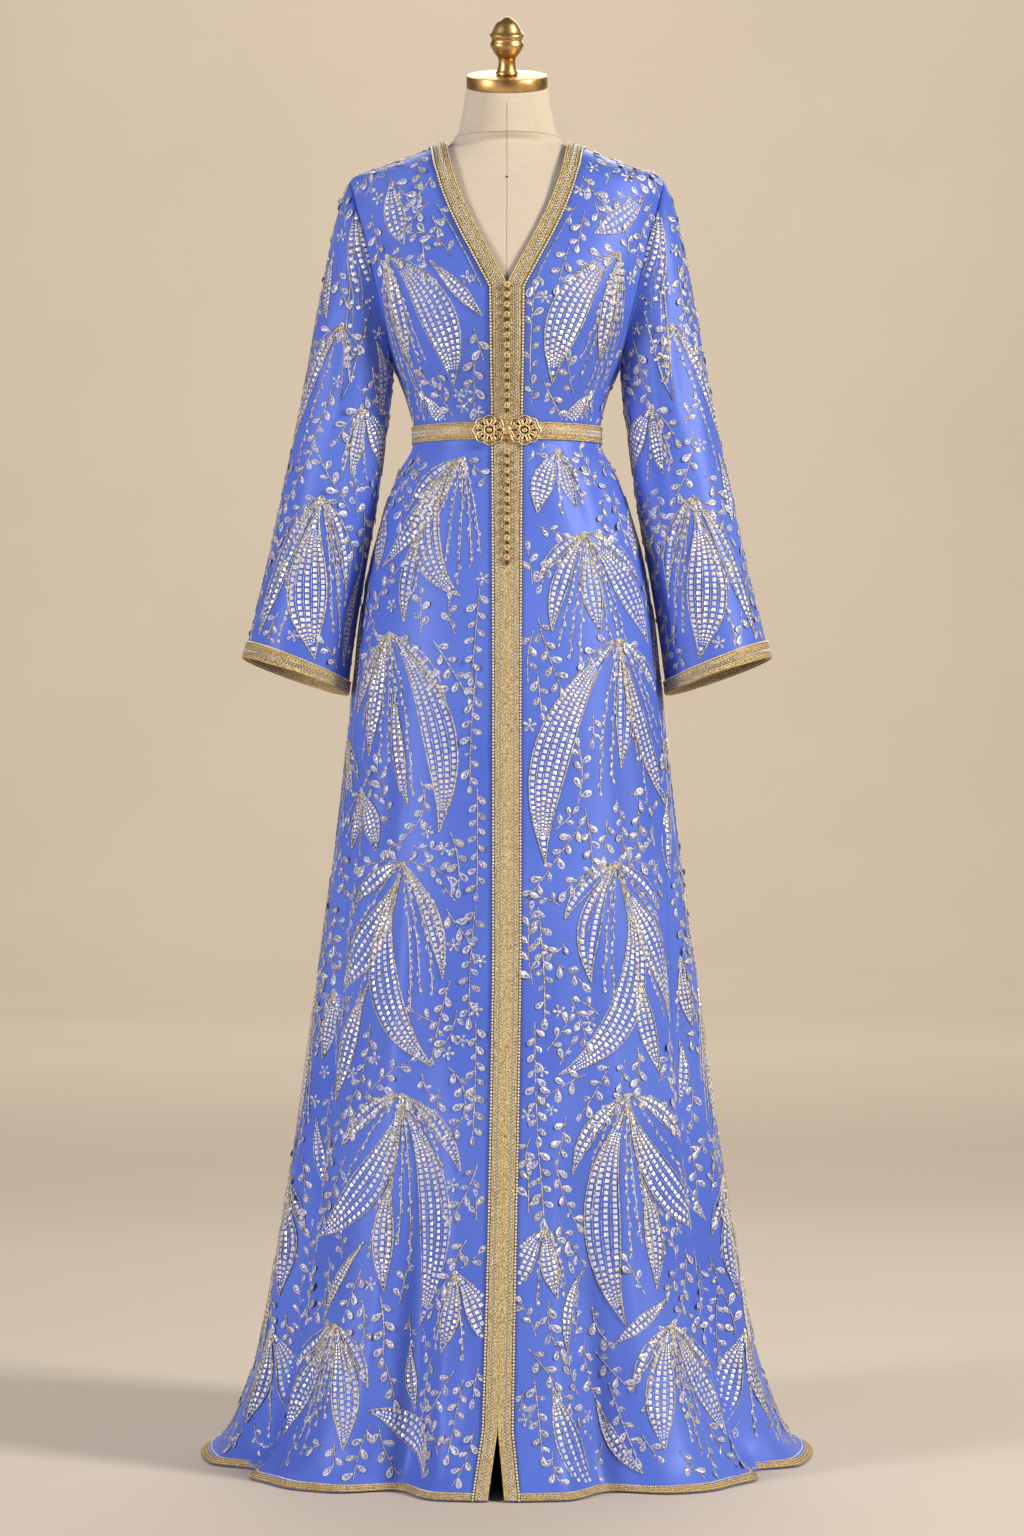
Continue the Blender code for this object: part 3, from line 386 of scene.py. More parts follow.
sideSeam = table(
    "height angle",
    (0.000, 48.0), (0.035, 51.0), (0.090, 54.5), (0.200, 56.0), (0.430, 59.5), (0.780, 67.0),
    (0.970, 76.0), (1.100, 84.0), (1.220, 90.0), (1.300, 90.0),
)
frontBraid = table(
    "height width",
    (0.000, 0.0190), (0.300, 0.0172), (0.900, 0.0175), (1.220, 0.0190), (1.330, 0.0208), (1.393, 0.0215),
)
# The sleeve's outer and inner edges as seen from the front, and its depth at each
sleeve = table(
    "along outerX outerZ innerX innerZ frontY backY drop",
    (0.000, 0.1873, 1.5300, 0.1356, 1.3000, -0.048, 0.052, 0.000),
    (0.060, 0.2020, 1.4980, 0.1385, 1.2760, -0.052, 0.057, 0.000),
    (0.150, 0.2125, 1.4460, 0.1425, 1.2400, -0.055, 0.060, 0.000),
    (0.270, 0.2260, 1.3770, 0.1485, 1.1950, -0.057, 0.062, 0.000),
    (0.400, 0.2395, 1.3000, 0.1550, 1.1450, -0.058, 0.064, 0.001),
    (0.540, 0.2555, 1.2200, 0.1640, 1.0910, -0.060, 0.066, 0.002),
    (0.680, 0.2725, 1.1400, 0.1735, 1.0370, -0.062, 0.069, 0.003),
    (0.820, 0.2900, 1.0580, 0.1822, 0.9830, -0.064, 0.072, 0.004),
    (0.930, 0.3060, 0.9940, 0.1880, 0.9400, -0.066, 0.074, 0.005),
    (1.000, 0.3165, 0.9560, 0.1912, 0.9130, -0.068, 0.076, 0.005),
)
# Soft hollows down the empty sleeves: angle round the tube from the outer edge over the front
sleeveFolds = table(
    "angle halfWidth depth middle reach",
    (62, 26, -0.0045, 0.32, 0.30), (128, 24, -0.0060, 0.40, 0.34), (232, 30, -0.0060, 0.46, 0.36),
    (300, 26, -0.0045, 0.36, 0.30), (95, 14, 0.0020, 0.62, 0.26), (38, 16, -0.0024, 0.74, 0.22),
    (150, 16, -0.0026, 0.78, 0.22), (262, 16, 0.0022, 0.66, 0.24), (325, 16, -0.0022, 0.76, 0.22),
    (75, 12, -0.0018, 0.12, 0.12), (112, 12, -0.0020, 0.16, 0.14), (250, 12, -0.0020, 0.14, 0.12),
)


def through(xs, ys, at):  # a smooth curve through the points that never swings past them
    step = np.diff(xs)
    slope = np.diff(ys) / step
    tangent = np.zeros_like(ys)
    rising = slope[:-1] * slope[1:] > 0
    tangent[1:-1][rising] = (2 * slope[:-1] * slope[1:])[rising] / (slope[:-1] + slope[1:])[rising]
    tangent[0], tangent[-1] = slope[0], slope[-1]
    at = np.asarray(at, float)
    i = np.clip(np.searchsorted(xs, at) - 1, 0, len(step) - 1)
    t = np.clip((at - xs[i]) / step[i], 0, 1)
    start = ys[i] * (1 + 2 * t) * (1 - t) ** 2 + step[i] * tangent[i] * t * (1 - t) ** 2
    return start + ys[i + 1] * t**2 * (3 - 2 * t) - step[i] * tangent[i + 1] * t**2 * (1 - t)


def column(rows, name, at, key="height"):
    return through(rows[key], rows[name], at)


def unit(vectors):
    return vectors / np.maximum(np.linalg.norm(vectors, axis=-1, keepdims=True), 1e-12)


def ease(distance, halfWidth):  # 1 at no distance, easing to 0 at the half width
    return np.cos(np.clip(np.abs(distance) / halfWidth, 0, 1) * math.pi / 2) ** 2


def degreesFrom(angle, middle):
    return (np.degrees(angle) - middle + 180) % 360 - 180


def bodyPoint(angle, height, folded=True):
    angle, height = np.broadcast_arrays(np.asarray(angle, float), np.asarray(height, float))
    half, front, side, back = (column(body, name, height) for name in list(body)[1:])
    depth = np.where(np.cos(angle) >= 0, side - front, back - side)
    point = np.stack([half * np.sin(angle), side - depth * np.cos(angle), height], -1)
    if folded:
        rise = np.zeros_like(height)
        for middle, width, most, top in zip(*folds.values()):
            fall = np.clip(1 - height / top, 0, 1) ** cloth["foldFall"]
            rise += most * ease(degreesFrom(angle, middle), width) * fall
        for middle, width, most, at, reach, lean in zip(*creases.values()):
            across = degreesFrom(angle, middle + lean * (height - at))
            rise += most * ease(across, width) * ease(height - at, reach)
        outward = unit(np.stack([np.sin(angle) / half, -np.cos(angle) / depth, 0 * height], -1))
        point = point + outward * rise[..., None]
    return point


def slopes(surface, first, second, lowest, highest):
    small = 1e-4
    low, high = np.maximum(second - small, lowest), np.minimum(second + small, highest)
    byFirst = (surface(first + small, second) - surface(first - small, second)) / (2 * small)
    bySecond = (surface(first, high) - surface(first, low)) / (high - low)[..., None]
    return byFirst, bySecond


def bodySlopes(angle, height):
    return slopes(bodyPoint, angle, height, 0.0, cloth["shoulderNeck"])


def bodyNormals(angle, height):
    return unit(np.cross(*bodySlopes(*np.broadcast_arrays(angle, height))))


def stepOn(byFirst, bySecond, move):  # how the two parameters change for a move along the surface
    aa, ab, bb = ((p * q).sum(-1) for p, q in ((byFirst, byFirst), (byFirst, bySecond), (bySecond, bySecond)))
    ma, mb = (move * byFirst).sum(-1), (move * bySecond).sum(-1)
    area = np.maximum(aa * bb - ab * ab, 1e-12)
    return (ma * bb - mb * ab) / area, (mb * aa - ma * ab) / area


def walk(angle, height, along, distance, steps=3):  # from an edge over the body, square to it, on its left
    stride = np.broadcast_to(distance, angle.shape)[:, None] / steps
    for _ in range(steps):
        byAngle, byHeight = bodySlopes(angle, height)
        normal = unit(np.cross(byAngle, byHeight))
        moveAngle, moveHeight = stepOn(byAngle, byHeight, unit(np.cross(normal, along)) * stride)
        angle, height = angle + moveAngle, np.minimum(height + moveHeight, cloth["shoulderNeck"])
    return angle, height


def armhole(step):
    turn = np.asarray(step, float) * math.pi / cloth["armholeSteps"]
    middle = (cloth["shoulderTip"] + cloth["underarm"]) / 2
    reach = (cloth["shoulderTip"] - cloth["underarm"]) / 2
    front = math.pi / 2 - math.radians(cloth["frontScoop"]) * np.sin(turn)
    back = math.pi / 2 + math.radians(cloth["backScoop"]) * np.sin(turn)
    return middle + reach * np.cos(turn), front, back


def openingDrift(height):  # how far the opening has wandered to the left, down there
    return -cloth["hemDrift"] * np.clip(1 - height / cloth["driftTop"], 0, 1) ** cloth["driftFall"]


def openingAngle(height, side):
    slit = cloth["slitWidth"] * np.clip(1 - (height - cloth["hem"]) / (cloth["slitTop"] - cloth["hem"]), 0, 1)
    return np.arcsin((openingDrift(height) + side * (cloth["seam"] + slit) / 2) / column(body, "halfWidth", height))


def neckAngle(height):  # of the neckline's edge, and of the opening below it
    neck = np.arcsin(np.clip(column(neckline, "halfWidth", height) / column(body, "halfWidth", height), 0, 1))
    return np.maximum(neck, np.abs(openingAngle(height, 1)))


def backNeckHeight(turn):  # from the shoulder at no turn to the centre back at a quarter
    return cloth["shoulderNeck"] - (cloth["shoulderNeck"] - cloth["backNeck"]) * (1 - np.cos(turn))


upperSteps = np.linspace(0, cloth["armholeSteps"], cloth["upperRows"] + 1)
lowerCount = int((cloth["underarm"] - cloth["hem"]) / cloth["row"]) + 1
lowerRows = np.linspace(cloth["underarm"], cloth["hem"], lowerCount)[1:]


def outerEdge(facing):  # armhole and side seam of a panel, +1 for a front and -1 for the back
    height, front, back = armhole(upperSteps)
    seam = np.radians(column(sideSeam, "angle", lowerRows))
    angle = np.concatenate([front if facing > 0 else back, seam])
    height = np.concatenate([height, lowerRows])
    byAngle, _ = bodySlopes(angle, height)
    return angle - facing * cloth["seam"] / 2 / np.linalg.norm(byAngle, axis=-1), height


def frontEdge(side):  # from the shoulder down the neckline and the opening
    knots = np.array((1.574, 1.569, 1.556, 1.533, 1.500, 1.465, 1.430, 1.393, 1.360, 1.328, 1.300))
    height = np.concatenate([through(np.arange(float(len(knots))), knots, upperSteps), lowerRows])
    return np.where(height > cloth["neckPoint"], side * neckAngle(height), openingAngle(height, side)), height


def backEdge(side):  # from the shoulder round the back neck and down the centre seam
    halves = upperSteps / (cloth["armholeSteps"] / 2)
    turn = np.clip(halves, 0, 1) * math.pi / 2
    down = np.clip(halves - 1, 0, 1) * (cloth["backNeck"] - cloth["underarm"])
    height = np.concatenate([backNeckHeight(turn) - down, lowerRows])
    angle = np.concatenate([math.pi / 2 + turn, np.full(len(lowerRows), math.pi)])
    return side * (angle - cloth["seam"] / 2 / column(body, "halfWidth", height)), height


def panelGrid(edge, facing, side):
    angle, height = edge
    outerAngle, outerHeight = outerEdge(facing)
    share = np.linspace(0, 1, cloth["columns"] + 1)
    return (
        angle[:, None] * (1 - share) + side * outerAngle[:, None] * share,
        height[:, None] * (1 - share) + outerHeight[:, None] * share,
    )


def armholeLoop(angle):
    step = (angle % (2 * math.pi)) * cloth["armholeSteps"] / math.pi
    height, front, back = armhole(np.minimum(step, 2 * cloth["armholeSteps"] - step))
    return height, np.where(step <= cloth["armholeSteps"], front, back)


def sleevePoint(angle, along, side=1):
    angle, along = np.broadcast_arrays(np.asarray(angle, float), np.asarray(along, float))
    ox, oz, ix, iz, front, back, drop = (column(sleeve, name, along, "along") for name in list(sleeve)[1:])
    out = (1 + np.cos(angle)) / 2
    towardsFront = np.sin(angle)
    middle, reach = (front + back) / 2, (back - front) / 2
    hollow = np.zeros_like(along)
    for centre, halfWidth, depth, place, length in zip(*sleeveFolds.values()):
        hollow += depth * ease(degreesFrom(angle, centre), halfWidth) * ease(along - place, length)
    tube = np.stack([
        ix + (ox - ix) * out + hollow * np.cos(angle),
        middle - towardsFront * (reach + hollow),
        iz + (oz - iz) * out + drop * towardsFront,
    ], -1)
    height, panelAngle = armholeLoop(angle)
    up = np.clip(-np.cos(angle), 0, 1)
    loop = bodyPoint(panelAngle, height) + cloth["sleeveClear"] * np.stack([0 * up + 1, 0 * up, up], -1)
    near = np.clip(1 - along / sleeve["along"][2], 0, 1)[..., None] ** 2
    return (tube * (1 - near) + loop * near) * np.array([side, 1, 1])


def sleeveNormals(angle, along, side):
    angle, along = np.broadcast_arrays(angle, along)
    return side * unit(np.cross(*slopes(lambda a, b: sleevePoint(a, b, side), angle, along, 0.0, 1.0)))


print("panels")


def meshPiece(name, points, faces, finish, sharp=50):
    mesh = bpy.data.meshes.new(name)
    mesh.from_pydata(np.asarray(points).reshape(-1, 3).tolist(), [], [tuple(int(k) for k in face) for face in faces])
    mesh.shade_smooth()
    mesh.set_sharp_from_angle(angle=math.radians(sharp))
    mesh.materials.append(finish)
    return link(bpy.data.objects.new(name, mesh))


def tubeFaces(rings, count, joined=False):  # between rings of points, and from the last to the first if joined
    return [(k * count + j, k * count + (j + 1) % count, (k + 1) % rings * count + (j + 1) % count,
             (k + 1) % rings * count + j) for k in range(rings if joined else rings - 1) for j in range(count)]


def turnedOut(obj):  # merged, with its faces pointing outwards
    data = bmesh.new()
    data.from_mesh(obj.data)
    bmesh.ops.remove_doubles(data, verts=data.verts, dist=1e-6)
    bmesh.ops.recalc_face_normals(data, faces=data.faces)
    if data.calc_volume(signed=True) < 0:
        bmesh.ops.reverse_faces(data, faces=data.faces)
    data.to_mesh(obj.data)
    data.free()
    return obj


def shell(name, points, normals, inside, outside, finish, wrap=False):  # a closed wall over a grid of points
    count = points[..., 0].size
    here = np.arange(count).reshape(points.shape[:2])
    if wrap:
        here = np.concatenate([here, here[:, :1]], 1)
    quads = np.stack([here[:-1, :-1], here[:-1, 1:], here[1:, 1:], here[1:, :-1]], -1).reshape(-1, 4)
    rims = [here[0], here[-1][::-1]]
    if not wrap:
        rims += [here[:, -1], here[::-1, 0]]
    sides = [np.stack([rim[:-1], rim[1:], rim[1:] + count, rim[:-1] + count], -1)[:, ::-1] for rim in rims]
    faces = np.concatenate([quads, quads[:, ::-1] + count, *sides])
    outer = (points + normals * outside).reshape(-1, 3)
    inner = (points + normals * inside).reshape(-1, 3)
    return turnedOut(meshPiece(name, np.concatenate([outer, inner]), faces, finish))


def surfaceArea(points):
    down, across = np.diff(points[:, :-1], axis=0), np.diff(points[:-1], axis=1)
    return float(np.linalg.norm(np.cross(down, across), axis=-1).sum())


def longest(points, axis):
    return float(np.linalg.norm(np.diff(points, axis=axis), axis=-1).sum(axis).max())


def ready(obj, slot, *nodes):
    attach(obj, "root")
    if nodes:
        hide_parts(*nodes)
    return obj


panels = {}
for side, name in ((-1, "left"), (1, "right")):
    for facing, part, edge in ((1, "front", frontEdge(side)), (-1, "back", backEdge(side))):
        angle, height = panelGrid(edge, facing, side)
        points, normals = bodyPoint(angle, height), bodyNormals(angle, height)
        middle = cloth["columns"] // 2  # a back's seam with its side back
        cuts = {part: slice(None)} if facing > 0 else {"back": slice(0, middle + 1), "side_back": slice(middle, None)}
        for cut, columns in cuts.items():
            piece, outward = points[:, columns].copy(), normals[:, columns]
            made = shell(f"{cut.replace('_', '-')}-{name}-cloth", piece, outward, -cloth["thickness"], 0, satinCrepe)
            panels[f"{cut}_{name}"] = (made, (longest(piece, 1), longest(piece, 0)), surfaceArea(piece))
    around = np.arange(cloth["sleeveAround"]) * 2 * math.pi / cloth["sleeveAround"]
    angle, along = np.meshgrid(around, np.linspace(0, 1, cloth["sleeveRows"]))
    points, normals = sleevePoint(angle, along, side), sleeveNormals(angle, along, side)
    height, panelAngle = armholeLoop(around)
    under = np.clip(-2.5 * np.cos(around), 0, 1)[:, None]  # below, the sleeve's end keeps its own direction
    normals[0] = unit(bodyNormals(side * panelAngle, height) * (1 - under) + normals[1] * under)
    made = shell(f"sleeve-{name}-cloth", points, normals, -cloth["thickness"], 0, satinCrepe, wrap=True)
    tube = np.concatenate([points, points[:, :1]], 1)
    panels[f"sleeve_{name}"] = (made, (longest(tube, 1), longest(tube, 0)), surfaceArea(tube))

for node, (made, (width, length), area) in panels.items():
    ready(made, "satin_crepe", node)
    print(node, "cut", round(width, 3), "x", round(length, 3), "m, area", round(area, 3))

print("sewing tools")


# A tree with named inputs: what its steps make becomes real geometry of the finish given
def makeTree(name, inputs, output, steps):
    tree = bpy.data.node_groups.new(name, "GeometryNodeTree")
    for title, (kind, value) in {**inputs, "Finish": ("Material", None)}.items():
        socket = tree.interface.new_socket(title, in_out="INPUT", socket_type=f"NodeSocket{kind}")
        if value is not None:
            socket.default_value = value
    tree.interface.new_socket(output, in_out="OUTPUT", socket_type="NodeSocketGeometry")
    given = addNode(tree, "NodeGroupInput").outputs
    real = addNode(tree, "GeometryNodeRealizeInstances", None, {"Geometry": steps(tree, given)})
    dressed = addNode(tree, "GeometryNodeSetMaterial", None,
                      {"Geometry": real.outputs[0], "Material": given["Finish"]})
    addNode(tree, "NodeGroupOutput", None, {output: dressed.outputs[0]})
    return tree


def cordSteps(tree, given):  # lines of a mesh become round cords, as thick as their points say
    curve = addNode(tree, "GeometryNodeMeshToCurve", None, {"Mesh": given["Lines"]})
    length = addNode(tree, "GeometryNodeSplineParameter").outputs["Length"]
    kept = addNode(tree, "GeometryNodeStoreNamedAttribute", {"domain": "POINT", "data_type": "FLOAT"},
                   {"Geometry": curve.outputs[0], "Name": "along", "Value": length})
    thick = addNode(tree, "GeometryNodeInputNamedAttribute", {"data_type": "FLOAT"}, {"Name": "thick"})
    scale = addNode(tree, "ShaderNodeMath", {"operation": "MULTIPLY"}, {0: thick.outputs[0], 1: given["Thickness"]})
    ring = addNode(tree, "GeometryNodeCurvePrimitiveCircle", None, {"Resolution": given["Sides"], "Radius": 1.0})
    tube = addNode(tree, "GeometryNodeCurveToMesh", None,
                   {"Curve": kept.outputs[0], "Profile Curve": ring.outputs[0], "Scale": scale.outputs[0],
                    "Fill Caps": True})
    return addNode(tree, "GeometryNodeSetShadeSmooth", None,
                   {"Geometry": tube.outputs[0], "Shade Smooth": True}).outputs[0]


def sewnSteps(tree, given):  # a shape is sewn on at each point, turned and sized as the point says
    shape = addNode(tree, "GeometryNodeObjectInfo", None, {"Object": given["Shape"]})
    turn = addNode(tree, "GeometryNodeInputNamedAttribute", {"data_type": "FLOAT_VECTOR"}, {"Name": "turn"})
    size = addNode(tree, "GeometryNodeInputNamedAttribute", {"data_type": "FLOAT"}, {"Name": "size"})
    scale = addNode(tree, "ShaderNodeMath", {"operation": "MULTIPLY"}, {0: size.outputs[0], 1: given["Size"]})
    rotation = addNode(tree, "FunctionNodeEulerToRotation", None, {"Euler": turn.outputs[0]})
    return addNode(tree, "GeometryNodeInstanceOnPoints", None,
                   {"Points": given["Places"], "Instance": shape.outputs["Geometry"],
                    "Rotation": rotation.outputs[0], "Scale": scale.outputs[0]}).outputs[0]


laidCord = makeTree("laid cord", {"Lines": ("Geometry", None), "Thickness": ("Float", 1.0), "Sides": ("Int", 4)},
                    "Cords", cordSteps)
sewnPieces = makeTree("sewn pieces", {"Places": ("Geometry", None), "Shape": ("Object", None), "Size": ("Float", 1.0)},
                      "Pieces", sewnSteps)


def grow(name, tree, mesh, inputs):  # what the tree makes of a mesh, as a plain mesh
    seed = link(bpy.data.objects.new(name, mesh))
    modifier = seed.modifiers.new("grow", "NODES")
    modifier.node_group = tree
    for item in tree.interface.items_tree:
        if item.in_out == "INPUT" and item.name in inputs:
            modifier[item.identifier] = inputs[item.name]
    graph = bpy.context.evaluated_depsgraph_get()
    made = bpy.data.meshes.new_from_object(seed.evaluated_get(graph))
    seed.modifiers.clear()
    seed.data = made
    made.name = name
    return seed


def sewCords(name, lines, finish, sides=4, thickness=1.0):  # each line: points, thickness, closed or not
    points, edges, thick, first = [], [], [], 0
    for line, radius, closed in lines:
        count = len(line)
        points.append(line)
        thick.append(np.broadcast_to(radius, count))
        here = np.arange(first, first + count)
        edges.append(np.stack([here[:-1], here[1:]], 1))
        if closed:
            edges.append(np.array([[here[-1], here[0]]]))
        first += count
    mesh = bpy.data.meshes.new(name)
    mesh.from_pydata(np.concatenate(points).tolist(), np.concatenate(edges).tolist(), [])
    mesh.attributes.new("thick", "FLOAT", "POINT").data.foreach_set("value", np.concatenate(thick))
    return grow(name, laidCord, mesh, {"Thickness": thickness, "Sides": sides, "Finish": finish})


def sewOn(name, shape, places, outward, along, size, finish, shade=0.6):
    outward = unit(outward)
    ahead = unit(along - outward * (along * outward).sum(-1, keepdims=True))
    side = np.cross(outward, ahead)
    turn = np.stack([np.arctan2(side[:, 2], outward[:, 2]), -np.arcsin(np.clip(ahead[:, 2], -1, 1)),
                     np.arctan2(ahead[:, 1], ahead[:, 0])], 1)
    mesh = bpy.data.meshes.new(name)
    mesh.from_pydata(places.tolist(), [], [])
    mesh.attributes.new("turn", "FLOAT_VECTOR", "POINT").data.foreach_set("vector", turn.ravel())
    for title, values in (("size", size), ("shade", shade)):
        values = np.broadcast_to(values, len(places)).astype(float)
        mesh.attributes.new(title, "FLOAT", "POINT").data.foreach_set("value", values)
    return grow(name, sewnPieces, mesh, {"Shape": shape, "Size": 1.0, "Finish": finish})


def patternShape(name, build, smooth=False):  # a shape to sew on, kept out of the scene
    data = bmesh.new()
    build(data)
    bmesh.ops.recalc_face_normals(data, faces=data.faces)
    mesh = bpy.data.meshes.new(name)
    data.to_mesh(mesh)
    data.free()
    if smooth:
        mesh.shade_smooth()
    return bpy.data.objects.new(name, mesh)


def squareSequin(data):  # a cushion-cut square, one unit across, slightly crowned
    rim = [data.verts.new((0.5 * x, 0.5 * y, 0.0)) for x, y in ((1, 1), (-1, 1), (-1, -1), (1, -1))]
    top = data.verts.new((0.04, -0.03, 0.2))
    for k in range(4):
        data.faces.new((rim[k], rim[(k + 1) % 4], top))
    data.faces.new(rim[::-1])


def ringSequin(data):  # an open ring, one unit across
    rings = []
    for radius, height in ((0.5, 0.0), (0.38, 0.14), (0.22, 0.0)):
        turn = np.arange(8) * math.pi / 4
        rings.append([data.verts.new((radius * math.cos(t), radius * math.sin(t), height)) for t in turn])
    for here, there in zip(rings, rings[1:] + rings[:1]):
        for k in range(8):
            data.faces.new((here[k], here[(k + 1) % 8], there[(k + 1) % 8], there[k]))


def leafletPattern(data):  # a pointed drop one unit long, raised inside a flat rim
    edge = ((0.26, 0.16), (0.58, 0.27), (0.86, 0.21))
    outline = ((0.0, 0.0), *edge, (1.0, 0.0), *((x, -y) for x, y in edge[::-1]))
    rim = [data.verts.new((x, y, 0.02)) for x, y in outline]
    low = [data.verts.new((x, y, 0.0)) for x, y in outline]
    near, far = (data.verts.new((x, 0, 0.07)) for x in (0.28, 0.74))
    for k in range(8):
        data.faces.new((rim[k], low[k], low[(k + 1) % 8], rim[(k + 1) % 8]))
    for k, tip in zip(range(8), (near, near, far, far, far, far, near, near)):
        data.faces.new((rim[k], rim[(k + 1) % 8], tip))
    data.faces.new((rim[2], far, near))
    data.faces.new((rim[6], near, far))
    data.faces.new(low)


leafletShape = patternShape("leaflet", leafletPattern)
edgeShare = leafletShape.data.attributes.new("edge", "FLOAT", "POINT")  # 1 on the rim, 0 at the top
edgeShare.data.foreach_set("value", [1.0] * 16 + [0.0] * 2)
squareShape = patternShape("square sequin", squareSequin)
ringShape = patternShape("ring sequin", ringSequin)
beadShape = patternShape("bead", lambda data: bmesh.ops.create_icosphere(data, subdivisions=1, radius=0.5), True)


def lengths(points, closed=False):
    if closed:
        points = np.concatenate([points, points[:1]])
    return np.concatenate([[0], np.cumsum(np.linalg.norm(np.diff(points, axis=0), axis=1))])


def spaced(points, pitch, closed=False, *others):  # the line and what goes with it, again at an even pitch
    run = lengths(points, closed)
    count = max(2, round(run[-1] / pitch))
    at = np.arange(count) * run[-1] / count if closed else np.linspace(0, run[-1], count + 1)
    found = []
    for values in (points, *others):
        if closed:
            values = np.concatenate([values, values[:1]])
        found.append(np.stack([np.interp(at, run, part) for part in values.T], 1))
    return found


def headings(points, closed=False):
    if closed:
        return unit(np.roll(points, -1, 0) - np.roll(points, 1, 0))
    return unit(np.gradient(points, axis=0))


def zigzag(points, normals, width, pitch, closed=False):
    points, normals = spaced(points, pitch, closed, normals)
    if closed and len(points) % 2:
        points, normals = points[:-1], normals[:-1]
    across = unit(np.cross(normals, headings(points, closed)))
    swing = np.where(np.arange(len(points)) % 2, 0.5, -0.5) * width
    return points + across * swing[:, None]


print("braids")

braid = {
    "width": 0.0215, "ground": 0.0008, "rowsBelow": 210, "rowsNeck": 44, "rowsBack": 22, "cordRow": 0.0062,
    "samplesBelow": 240, "samplesNeck": 60, "samplesBack": 24, "clear": 0.0002, "cornerShare": 0.25,
    "cords": (  # distance from the edge and radius, mm
        (1.15, 1.05), (3.30, 1.00), (5.35, 0.95), (7.30, 0.90), (12.60, 0.90), (14.60, 0.90), (16.30, 0.70),
    ),
    "dark": ((17.35, 0.50), (2.22, 0.45), (13.6, 0.45), (6.35, 0.40), (21.1, 0.35)),  # the same of the dark threads, laid as painted shade in the gaps between the cords
    "silver": (9.95, 3.4, 2.0, 0.90),  # distance, width, pitch, radius of the silver zigzag, mm
    "beads": (19.3, 3.1, 3.8),  # distance, size and pitch of the outer beads, mm
}
sunk = 0.35  # how far a cord's centre is above what it lies on, in radii


def resample(angle, height, count):
    run = lengths(bodyPoint(angle, height))
    at = np.linspace(0, run[-1], count)
    return np.interp(at, run, angle), np.interp(at, run, height)


@lru_cache(maxsize=None)
def bandRail(side, distance):  # below the V, beside it and behind the neck, one part each
    point = cloth["neckPoint"]
    corner = point - braid["cornerShare"] * distance
    low = np.linspace(cloth["hem"] + braid["clear"], point, braid["samplesBelow"])
    width = column(frontBraid, "width", low) / braid["width"]
    edge = openingAngle(low, side)
    along = side * -unit(np.gradient(bodyPoint(edge, low), axis=0))
    lowAngle, _ = walk(edge, low, along, distance * width)
    keep = low <= corner
    keepAngle = np.append(lowAngle[keep], np.interp(corner, low, lowAngle))
    below = resample(keepAngle, np.append(low[keep], corner), braid["rowsBelow"])
    high = np.linspace(point, cloth["shoulderNeck"], braid["samplesNeck"])
    edge = side * neckAngle(high)
    along = side * -unit(np.gradient(bodyPoint(edge, high), axis=0))
    angle, height = walk(edge, high, along, distance)
    angle[-1] = side * math.pi / 2
    keep = height > corner
    beside = resample(np.append(below[0][-1], angle[keep]), np.append(corner, height[keep]), braid["rowsNeck"])
    turn = np.linspace(0, math.pi / 2, braid["samplesBack"])
    edge, height = side * (math.pi / 2 + turn), backNeckHeight(turn)
    along = -side * unit(np.gradient(bodyPoint(edge, height), axis=0))
    along[-1] = (1, 0, 0)
    angle, height = walk(edge, height, along, distance)
    angle[0], height[0], angle[-1] = side * math.pi / 2, beside[1][-1], side * math.pi
    return below, beside, resample(angle, height, braid["rowsBack"])


def onBody(angle, height):
    return bodyPoint(angle, height), bodyNormals(angle, height)


def railLine(side, distance):
    first, *others = bandRail(side, distance)
    return onBody(*(np.concatenate([first[k], *[rail[k][1:] for rail in others]]) for k in (0, 1)))


goldLines, silverLines, paintedShadeLines, outerBeads = [], [], [], []
grounds = {}
for side, name in ((-1, "left"), (1, "right")):
    strips = [railLine(side, distance) for distance in np.linspace(braid["clear"], braid["width"], 6)]
    points, normals = (np.stack(part, 1) for part in zip(*strips))
    front = braid["rowsBelow"] + braid["rowsNeck"] - 1
    outer = gap + braid["ground"]
    made = shell(f"front-band-{name}", points[:front], normals[:front], gap, outer, goldGround)
    ready(made, "gold_braid", f"front_band_{name}")
    grounds[side] = (points[front - 1:], normals[front - 1:])
    for distance, radius in braid["cords"]:
        points, normals = railLine(side, distance / 1000)
        points, _ = spaced(points + normals * (outer + radius / 1000 * sunk), braid["cordRow"], False, normals)
        goldLines.append((points, radius / 1000, False))
    distance, width, pitch, radius = (value / 1000 for value in braid["silver"])
    points, normals = railLine(side, distance)
    silverLines.append((zigzag(points + normals * (outer + radius * 0.6), normals, width, pitch), radius, False))
    # dark threads between the cords: painted shade
    for distance, radius in braid["dark"]:
        points, normals = railLine(side, distance / 1000)
        paintedShadeLines.append((points + normals * (outer + radius / 4000), radius / 1000, False))
    distance, size, pitch = (value / 1000 for value in braid["beads"])
    points, normals = railLine(side, distance)
    outerBeads.append((*spaced(points + normals * (outer + size * 0.25), pitch, False, normals), size))
joined = [np.concatenate([left, right[:-1][::-1]]) for left, right in zip(grounds[-1], grounds[1])]
made = shell("neck-band-back", *joined, gap, gap + braid["ground"], goldGround)
ready(made, "gold_braid", "neck_band_back")

cuff = {
    "width": 0.0205, "facing": 0.0125, "around": 84, "alongPerMetre": 1.842,  # of the sleeve, near its edge
    "cords": ((1.0, 1.0), (3.0, 0.9), (4.9, 0.85), (11.6, 0.85), (13.5, 0.9), (15.5, 0.9)),
    "inside": ((1.4, 0.9), (4.0, 0.9), (6.6, 0.9), (9.2, 0.9), (11.4, 0.9)),
    "silver": (8.2, 3.6, 1.9, 0.75), "beads": (18.9, 2.3, 2.75),
}


